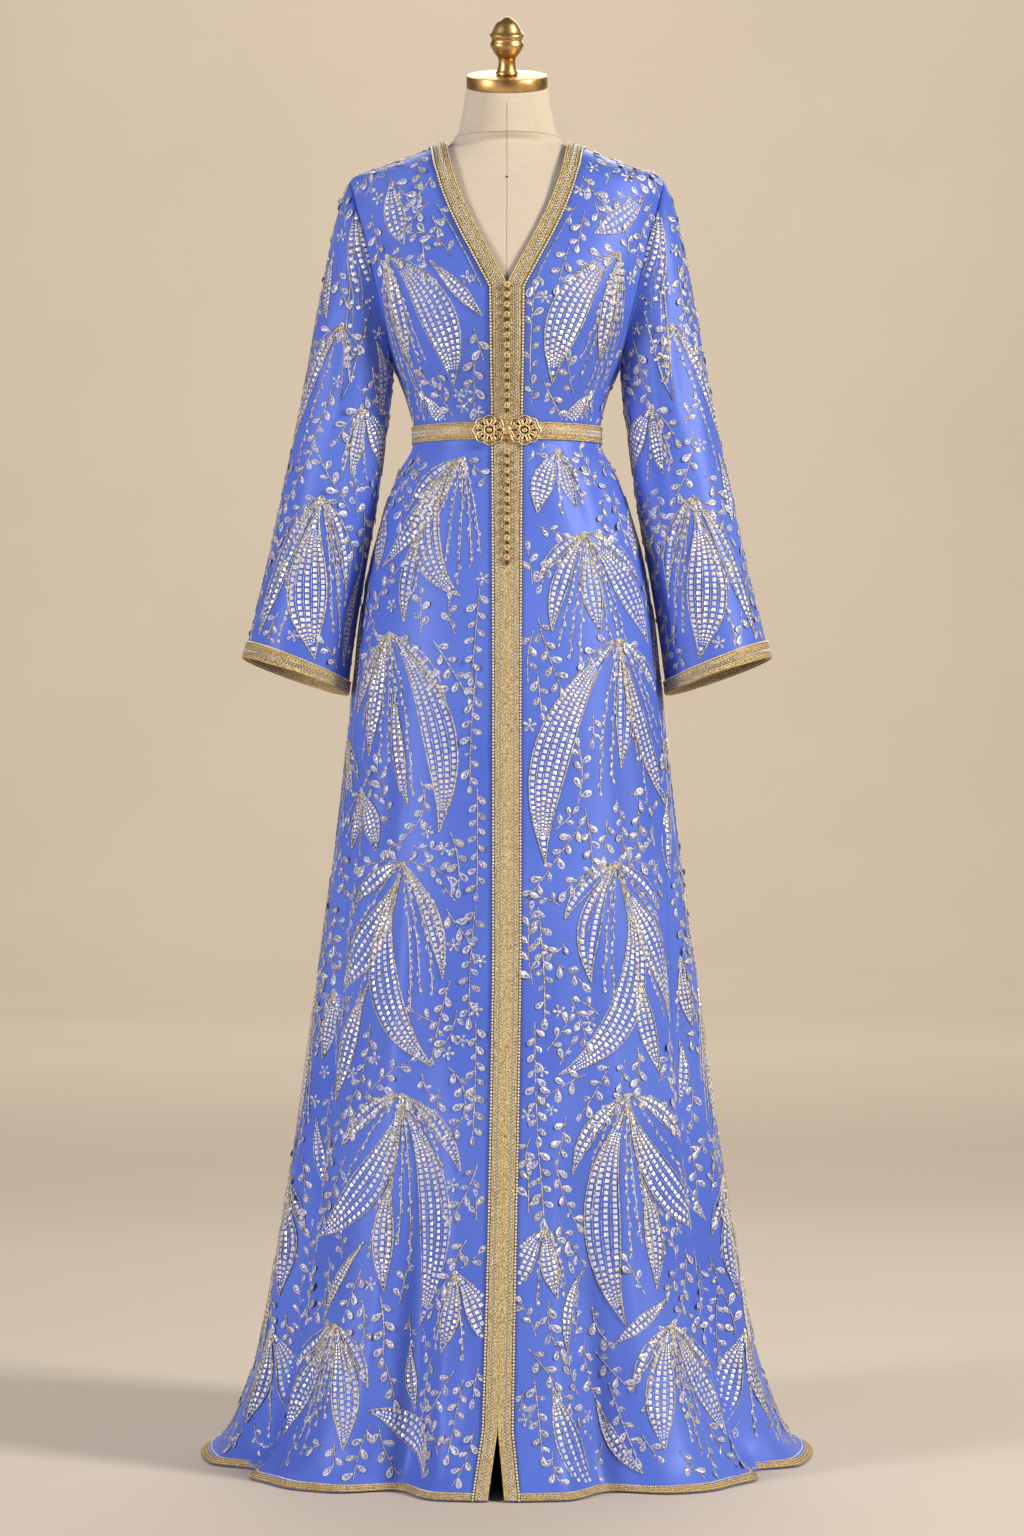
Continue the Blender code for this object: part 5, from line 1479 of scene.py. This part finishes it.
def strand(where, spine, length, reach):  # a drooping cord hung with small drops
    look = motifs["strand"]
    stemCord(where, spine, length, reach, *look["points"])
    t = np.arange(look["first"] / length, reach, look["pitch"] / length)
    lean = np.where(rng.random(len(t)) < 0.5, 1, -1) * chance(*look["lean"], len(t))
    leaflets(where, spine, t, lean, chance(*look["size"], len(t)), look["away"])


def twig(where, spine, length, reach, size=1.0):  # a stem with larger leaves by turns, and one at its tip
    look = motifs["twig"]
    stemCord(where, spine, length, reach, *look["points"])
    first, last, pitch = (look[part] * size / length for part in ("first", "last", "pitch"))
    t = np.append(np.arange(first, reach - last, pitch), reach)
    lean = np.where(np.arange(len(t)) % 2, 1, -1) * rng.choice([-1, 1]) * chance(*look["lean"], len(t))
    lean[-1] = chance(*look["tip"])
    leaflets(where, spine, t, lean, chance(*look["size"], len(t)) * size, look["away"])


def flower(where, spine, size):
    look = motifs["flower"]
    turn = 360 / look["petals"]
    lean = turn * rng.random() + turn * np.arange(look["petals"])
    leaflets(where, spine, np.zeros(look["petals"]), lean, look["size"] * size, look["away"] * size)
    sew(where, "ring", spine, 0.0, 0.0, 0.0, look["ring"] * size, 0.9)


def rings(where, spine, count):
    t = (np.arange(count) + 0.4) / count
    sizes = embroidery["ring"] / 1000 * (1 - 0.25 * t)
    sew(where, "ring", spine, t, 0.0, 0.0, sizes, 0.75 + 0.25 * rng.random(count))


# What hangs from a node. Leaves: heading, length, width, bend and rows, then for some which way and how far off they
# start. Strands and twigs: heading, length and bend. Rings: heading, count and length. Degrees and mm.
sprays = {
    "parted": {
        "leaves": (
            (-38, 163, 24, -5, 3), (-27, 200, 31, 62, 4), (-14, 118, 15, 10, 2, -28, 92), (-58, 90, 12, 16, 1),
        ),
        "strands": ((14, 130, -10), (6, 150, -8), (-20, 170, 4), (22, 120, -14), (-6, 140, 2)),
        "twigs": ((-52, 70, 20), (60, 54, -30)), "rings": (18, 4, 26),
    },
    "streaming": {
        "leaves": (
            (33, 262, 33, -26, 4), (-9, 150, 22, 4, 3), (12, 150, 15, 2, 2, 12, 62), (52, 120, 13, -14, 1),
            (-34, 110, 14, 12, 2),
        ),
        "strands": ((6, 165, -4), (-2, 150, 4), (-24, 120, 8), (14, 190, -8), (22, 200, -14), (-16, 150, 6)),
        "twigs": ((60, 110, -30), (-48, 70, 24)), "rings": (10, 4, 24),
    },
    "fountain": {
        "leaves": (
            (-62, 84, 17, 14, 2), (-30, 175, 37, -8, 4, 0, 12), (-6, 252, 34, 46, 4, 0, 14),
            (-16, 142, 25, 4, 3, -14, 150), (32, 150, 16, -14, 2),
        ),
        "strands": (
            (22, 150, -16), (32, 160, -26), (44, 130, -30), (-46, 120, 20), (14, 170, -10), (-18, 190, 2),
            (52, 110, -34),
        ),
        "twigs": ((96, 60, -40), (-100, 62, 30)), "rings": (33, 6, 34),
    },
    "crescent": {
        "leaves": (
            (-62, 104, 18, 16, 2), (-24, 205, 38, -30, 4, 0, 10), (19, 268, 36, -26, 4, 0, 10),
            (-4, 132, 20, 6, 3, -4, 96), (50, 120, 14, -18, 2),
        ),
        "strands": (
            (-12, 190, 6), (4, 170, -6), (10, 190, -10), (-44, 130, 16), (-4, 200, 2), (34, 150, -22),
            (46, 110, -30),
        ),
        "twigs": ((-74, 84, 30), (62, 60, -30)), "rings": (2, 5, 30),
    },
    "tassel": {
        "leaves": (
            (-30, 132, 16, 14, 2), (4, 110, 22, 2, 3, 0, 10), (40, 152, 32, -8, 4, 0, 6), (-56, 84, 12, 14, 1),
            (64, 96, 12, -14, 1),
        ),
        "strands": ((-14, 150, 4), (18, 150, -4), (24, 130, -8), (-8, 170, 2), (12, 170, -4), (-22, 140, 8)),
        "twigs": ((-64, 88, 40), (72, 60, -30)), "rings": (-44, 5, 30),
    },
    "split": {
        "leaves": ((-36, 300, 36, 26, 5), (-3, 150, 19, -2, 2, 0, 6), (17, 218, 23, 6, 3), (50, 110, 13, -12, 1)),
        "strands": ((6, 150, 0), (-12, 170, 8), (30, 130, -10), (10, 190, -2), (-20, 190, 14), (38, 120, -16)),
        "twigs": ((-74, 70, 34), (64, 56, -30)), "rings": (-16, 4, 24),
    },
    "fan": {
        "leaves": (
            (27, 188, 33, -6, 4, 0, 18), (2, 283, 33, -54, 4, 0, 14), (6, 132, 22, 4, 3, 8, 120),
            (-33, 150, 22, 28, 2, 0, 4), (56, 84, 13, -16, 1), (-58, 100, 13, 18, 1),
        ),
        "strands": (
            (14, 190, 6), (46, 120, -14), (-12, 170, 8), (40, 150, -10), (-20, 150, 14), (20, 150, 0),
            (-44, 120, 26),
        ),
        "twigs": ((-86, 76, 40), (102, 60, -40)), "rings": (-46, 6, 34),
    },
    "pair": {
        "leaves": ((-20, 148, 31, 8, 4), (27, 150, 30, -6, 4), (-52, 92, 12, 16, 1), (56, 92, 12, -16, 1)),
        "strands": ((8, 120, 0), (-4, 130, 4), (40, 110, -10), (2, 150, 2), (14, 110, -2), (-38, 110, 14)),
        "twigs": ((0, 120, 6), (-56, 70, 20), (60, 66, -20)), "rings": (4, 6, 36),
    },
    "plume": {
        "leaves": ((44, 192, 37, -34, 5), (10, 132, 18, -6, 2)),
        "strands": (
            (3, 186, -2), (12, 170, -8), (-5, 160, 4), (19, 150, -10), (-1, 120, 8), (7, 200, -6), (-10, 150, 8),
            (26, 130, -14),
        ),
        "twigs": ((80, 70, -30),), "rings": (22, 2, 12),
    },
    "drop": {
        "leaves": ((-34, 120, 30, 10, 4), (6, 104, 20, 4, 3)),
        "strands": ((-12, 110, 6), (18, 100, -6), (24, 90, -10)), "twigs": ((44, 60, -16),), "rings": (-14, 3, 16),
    },
    "lone": {
        "leaves": ((0, 92, 23, 10, 3),), "strands": (), "twigs": ((34, 48, -10),), "rings": (0, 0, 0),
    },
    "hanging": {
        "leaves": ((-22, 168, 20, 8, 2), (2, 172, 36, 10, 5, 0, 10), (34, 110, 13, -16, 1)),
        "strands": ((18, 150, -8), (26, 120, -12), (-10, 190, 4), (22, 170, -8), (-30, 150, 14), (34, 120, -18)),
        "twigs": ((52, 84, -20), (-58, 66, 30)), "rings": (-2, 4, 24),
    },
    "rising": {
        "leaves": ((150, 150, 30, -44, 4),), "strands": (), "twigs": ((172, 96, -20),), "rings": (0, 0, 0),
    },
}


def nearest(where, x, z, facing):  # the place of a surface that is seen at x and z from the front or the back
    grid = surfaces[where]["grid"]
    away = (grid[..., 0] - x) ** 2 + (grid[..., 2] - z) ** 2 + (grid[..., 10] * facing > 0)
    i, j = np.unravel_index(np.argmin(away), away.shape)
    return (i / (len(grid) - 1) - 0.5) * 2 * math.pi, j / (grid.shape[1] - 1) * surfaces[where]["high"]


def spray(where, a, b, name, mirror=1, size=1.0, turn=0.0):
    surface, design, marks = surfaces[where], sprays[name], []

    def trace(start, heading, length, bend=0, steps=8):
        return traceSpines(surface, *start, mirror * heading + turn, length, mirror * bend, steps)[0]

    for heading, length, width, bend, rows, *stem in design["leaves"]:
        fuller = 1.6 * bend + math.copysign(14, bend)
        heading, bend = heading + (bend - fuller) / 2, fuller  # sickle-shaped, around the same chord
        length, width = length * size / 1000, embroidery["widen"] * width * size / 1000
        start = (a, b)
        if stem:
            toward, away = stem
            stem = trace((a, b), toward, away * size / 1000)
            lay(where, stem[:, :2], embroidery["stem"])
            start = stem[-1, :2]
        spine = trace(start, heading, length, bend, 30)
        t = np.linspace(0.36, 1, 15)
        spots = np.stack([onSpine(spine, t, share * width / 2 * leafShape(t)) for share in (-0.9, 0, 0.9)])
        hit = crowded(surface, spots).any(0)
        if hit.any():
            reach = t[hit.argmax()] * 0.96
            if reach < 0.5:
                continue
            length, bend = length * reach, bend * reach
            spine = trace(start, heading, length, bend, 30)
        leaf(where, spine, length, width, rows)
        t = np.linspace(0.04, 1, max(6, int(length / 0.006)))
        marks += [onSpine(spine, t, share * width / 2 * leafShape(t)) for share in (-0.9, -0.45, 0, 0.45, 0.9)]
    for part, make in (("strands", strand), ("twigs", twig)):
        for heading, length, bend in design[part]:
            length = length * size / 1000
            spine = trace((a, b), heading, length, bend, 30)
            t = np.linspace(0.42, 1, 12)
            hit = crowded(surface, onSpine(spine, t))
            reach = t[hit.argmax()] * 0.92 if hit.any() else 1.0
            if reach * length > embroidery["shortestCord"]:
                make(where, spine, length, reach)
                t = np.linspace(0, reach, 16)
                marks += [onSpine(spine, t, side) for side in (-0.003, 0.003)]
    heading, count, length = design["rings"]
    if count:
        spine = trace((a, b), heading, length * size / 1000)
        rings(where, spine, count)
        marks.append(onSpine(spine, np.linspace(0, 1, 6)))
    occupy(surface, np.concatenate(marks))


# Where the sprays hang: across and up as seen from that side, which one, then its hand, size and turn if need be
frontSprays = (
    (-0.052, 1.191, "parted"), (-0.139, 0.985, "streaming"), (-0.122, 0.714, "fountain"),
    (-0.122, 0.447, "crescent"), (-0.198, 0.182, "pair", 1, 1.0, -6), (-0.098, 0.012, "rising", -1, 0.9, 8),
    (0.093, 1.103, "tassel"), (0.132, 0.977, "split"), (0.129, 0.714, "fan"), (0.140, 0.447, "crescent", -1),
    (0.188, 0.182, "pair"), (0.052, 0.122, "lone", 1, 1.6, 20), (-0.143, 1.432, "plume"),
    (0.133, 1.434, "plume", -1), (-0.137, 1.523, "lone", 1, 0.95, 12), (0.163, 1.505, "lone", -1, 0.98, -52),
    (0.060, 1.200, "drop", 1, 0.72, 6), (-0.102, 1.270, "drop", -1, 0.5), (0.100, 1.270, "drop", 1, 0.5),
    (-0.205, 0.560, "drop", -1, 0.8), (0.205, 0.600, "drop", 1, 0.8), (-0.060, 0.250, "drop", -1, 0.9),
    (0.045, 0.300, "drop", 1, 0.8), (-0.280, 0.235, "drop", -1), (0.285, 0.240, "drop"),
    (-0.172, 0.800, "drop", -1, 0.7),
)
backSprays = (
    (0.100, 1.475, "plume"), (-0.100, 1.475, "plume", -1), (0.0, 1.500, "hanging", 1, 0.9), (0.052, 1.191, "parted"),
    (-0.062, 1.191, "parted", -1), (0.0, 1.010, "fan", 1, 0.95), (0.130, 0.960, "fountain", -1),
    (-0.132, 0.975, "split"), (0.010, 0.700, "crescent"), (0.150, 0.690, "fan"), (-0.150, 0.700, "fountain"),
    (0.0, 0.400, "fan", -1), (0.170, 0.420, "crescent", -1), (-0.172, 0.430, "crescent"), (0.075, 0.185, "pair"),
    (-0.085, 0.190, "pair", -1), (0.240, 0.190, "pair"), (-0.240, 0.195, "pair", -1),
)
sideSprays = (  # the same by angle round the body and height
    (94, 1.150, "drop", 1, 0.9, 0), (92, 1.020, "hanging", 1, 0.8, 0), (86, 0.860, "parted", 1, 0.85, 0),
    (98, 0.700, "tassel", 1, 0.9, 0), (84, 0.560, "hanging", -1, 0.95, 0), (100, 0.440, "drop", 1, 1.1, 0),
    (80, 0.340, "pair", 1, 1.0, 0), (99, 0.230, "pair", -1, 1.0, 0), (72, 0.160, "drop", 1, 1.1, 0),
)
sleeveSprays = (  # across from the sleeve's own side, as for its right one
    (0.168, 1.497, "drop", -1, 1.0, 0), (0.195, 1.352, "hanging", -1, 0.95, 10),
    (0.219, 1.147, "hanging", -1, 1.08, 8), (0.172, 1.255, "drop", 1, 0.8, 0), (0.262, 1.070, "drop", -1, 0.8, 10),
)

for x, z, *which in frontSprays:
    spray("body", *nearest("body", x, z, 1), *which)
print(" front sprays")
for x, z, *which in backSprays:
    spray("body", *nearest("body", x, z, -1), *which)
for degrees, z, name, hand, size, turn in sideSprays:
    for side in (-1, 1):
        spray("body", side * math.radians(degrees), z, name, side * hand, size, turn)
print(" back and side sprays")
for side, where in ((-1, "left"), (1, "right")):
    for facing in (1, -1):
        for x, z, name, hand, size, turn in sleeveSprays:
            spray(where, *nearest(where, side * x, z, facing), name, side * facing * hand, size, side * facing * turn)

# Runs of leaflets beside the neck and down both sides of the front braid
vines = (
    (0.116, 1.556, 8, 64, -20), (0.130, 1.470, -20, 60, 20), (0.079, 1.545, 12, 70, 30),
    (0.083, 1.490, -34, 120, 8), (0.040, 1.395, -6, 105, 8), (0.038, 1.310, 4, 64, 0), (0.034, 1.195, 4, 130, -4),
    (0.036, 1.060, -4, 120, 4), (0.036, 0.935, 6, 130, -8), (0.034, 0.800, -2, 120, 2), (0.036, 0.665, 6, 130, -8),
    (0.034, 0.530, -3, 130, 4), (0.038, 0.390, 5, 120, -6), (0.036, 0.250, -2, 110, 4), (0.040, 0.130, 6, 84, -4),
)
for x, z, heading, length, bend in vines:
    for side in (-1, 1):
        a, b = nearest("body", side * x + openingDrift(z), z, 1)
        spine = traceSpines(surfaces["body"], a, b, side * heading, length / 1000, side * bend)[0]
        t = np.linspace(0, 1, 24)
        hit = np.any([crowded(surfaces["body"], onSpine(spine, t, share)) for share in (-0.006, 0, 0.006)], 0)
        reach = max(t[hit.argmax()] - 0.05, 0) if hit.any() else 1.0
        if reach * length > 24:
            twig("body", spine, length / 1000, reach, 1.08 if z > 1.23 else 0.95)
            occupy(surfaces["body"], onSpine(spine, t * reach))


def fillIn(where, kind, tries, shortest, reach, size):
    surface = surfaces[where]
    if where == "body":
        b = filling["top"] * (1 - np.sqrt(rng.random(tries) * 0.95))  # and lower down, where the skirt is wide
        b = np.where(rng.random(tries) < filling["bodiceShare"], rng.uniform(*filling["bodice"], tries), b)
        a = rng.uniform(-math.pi, math.pi, tries)
    else:
        a, b = rng.uniform(-math.pi, math.pi, tries), rng.uniform(0.01, 0.98, tries)
    places = np.stack([a, b], -1)
    places = places[(surface["room"](a, b) > filling["start"]) & ~crowded(surface, places)]
    a, b = places.T
    upward = rng.random(len(a)) < (0.0 if kind == "leaf" else filling["upward"])
    heading = rng.normal(0, filling["heading"], len(a)) + np.where(upward, 180, 0)
    length = rng.uniform(*reach, len(a))
    bend = rng.normal(0, filling["bend"], len(a))
    spines = traceSpines(surface, a, b, heading, length, bend, filling["steps"])
    half = filling["leafHalf"] if kind == "leaf" else filling["twigHalf"] * size
    t = np.linspace(0, 1, filling["steps"] + 1)
    count = 0
    for spine, long in zip(spines, length):
        spots = np.stack([onSpine(spine, t, side * (0.3 + 0.7 * np.sin(math.pi * t))) for side in (-half, 0, half)])
        room = surface["room"](spots[..., 0], spots[..., 1])
        hit = crowded(surface, spots).any(0) | (room < filling["room"]).any(0)
        free = t[hit.argmax()] - 0.05 if hit.any() else 1.0
        if hit[0] or free * long < shortest:
            continue
        if kind == "leaf":
            cut = spine[:max(4, int(len(spine) * free))]
            leaf(where, cut, long * free, chance(*filling["leafWidth"]), 2)
        elif kind == "flower":
            flower(where, spine, size)
        else:
            twig(where, spine, long, free, size)
        occupy(surface, np.concatenate([onSpine(spine, np.linspace(0, free, 14), side) for side in (-0.003, 0.003)]))
        count += 1
    return count


for where, share in filling["parts"].items():
    tries = int(embroidery["tries"] * share)
    made = [fillIn(where, kind, int(tries * part), *rest) for kind, part, *rest in filling["kinds"]]
    print(" filled", where, made)


def stretches(keep):
    edges = np.flatnonzero(np.diff(np.concatenate([[0], keep.astype(int), [0]])))
    return edges.reshape(-1, 2)


for where, surface in surfaces.items():
    groups = {"front": [], "back": []} if where == "body" else {where: []}
    sizes = [len(places) for places, _, _ in laid[where]]
    places = np.concatenate([places for places, _, _ in laid[where]])
    room = surface["room"](places[:, 0], places[:, 1])
    points, _, _, normals = read(surface, places[:, 0], places[:, 1])
    ends = np.cumsum(sizes)
    for (_, radius, closed), end, size in zip(laid[where], ends, sizes):
        part = slice(end - size, end)
        inside = room[part] > radius + embroidery["cordClear"]
        lifted = points[part] + normals[part] * radius * embroidery["lift"]
        side = "front" if points[end - size, 1] < embroidery["frontTo"] else "back"
        group = side if where == "body" else where
        if closed:
            if inside.all():
                groups[group].append((lifted, radius, True))
            continue
        for first, last in stretches(inside):
            if last - first > 2:
                groups[group].append((lifted[first:last], radius, False))
    for group, lines in groups.items():
        ready(sewCords(f"couching-{group}", lines, champagneCord, sides=3), "gold_braid")
        print(" couching", group, sum(len(line) - (not closed) for line, _, closed in lines) * 6)
    for shape, source, finish in (("square", squareShape, sequinPlate), ("ring", ringShape, sequinPlate),
                                  ("leaflet", leafletShape, leafletBeads)):
        items = [item for item in sewn[where] if item[0] == shape]
        here, there = (np.array([item[k] for item in items]) for k in (1, 2))
        size, shade = (np.array([item[k] for item in items]) for k in (3, 4))
        keep = surface["room"](here[:, 0], here[:, 1]) > size / 2 + embroidery["pieceClear"]
        here, there, size, shade = here[keep], there[keep], size[keep], shade[keep]
        points, _, _, normals = read(surface, here[:, 0], here[:, 1])
        ahead = read(surface, there[:, 0], there[:, 1])[0] - points
        tilt = rng.normal(0, 0.07, points.shape)
        parts = {"": np.ones(len(size), bool)}
        if where == "body" and shape == "leaflet":
            inFront = points[:, 1] < embroidery["frontTo"]
            parts = {"-front": inFront, "-back": ~inFront}
        for part, those in parts.items():
            seats = points[those] + normals[those] * embroidery["pieceLift"]
            made = sewOn(f"{shape}s-{where}{part}", source, seats, (normals + tilt)[those], ahead[those], size[those],
                         finish, shade[those])
            ready(made, "gilt_metal")
            print(f" {shape}s", where, part, those.sum())

for name in ("stand_pole", "stand_base"):
    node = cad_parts[name]
    node.data.materials.clear()
    node.data.materials.append(coatedSteel)

sizes = {"cad": [list(corner) for corner in cadBox], "visual": [list(corner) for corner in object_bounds()]}
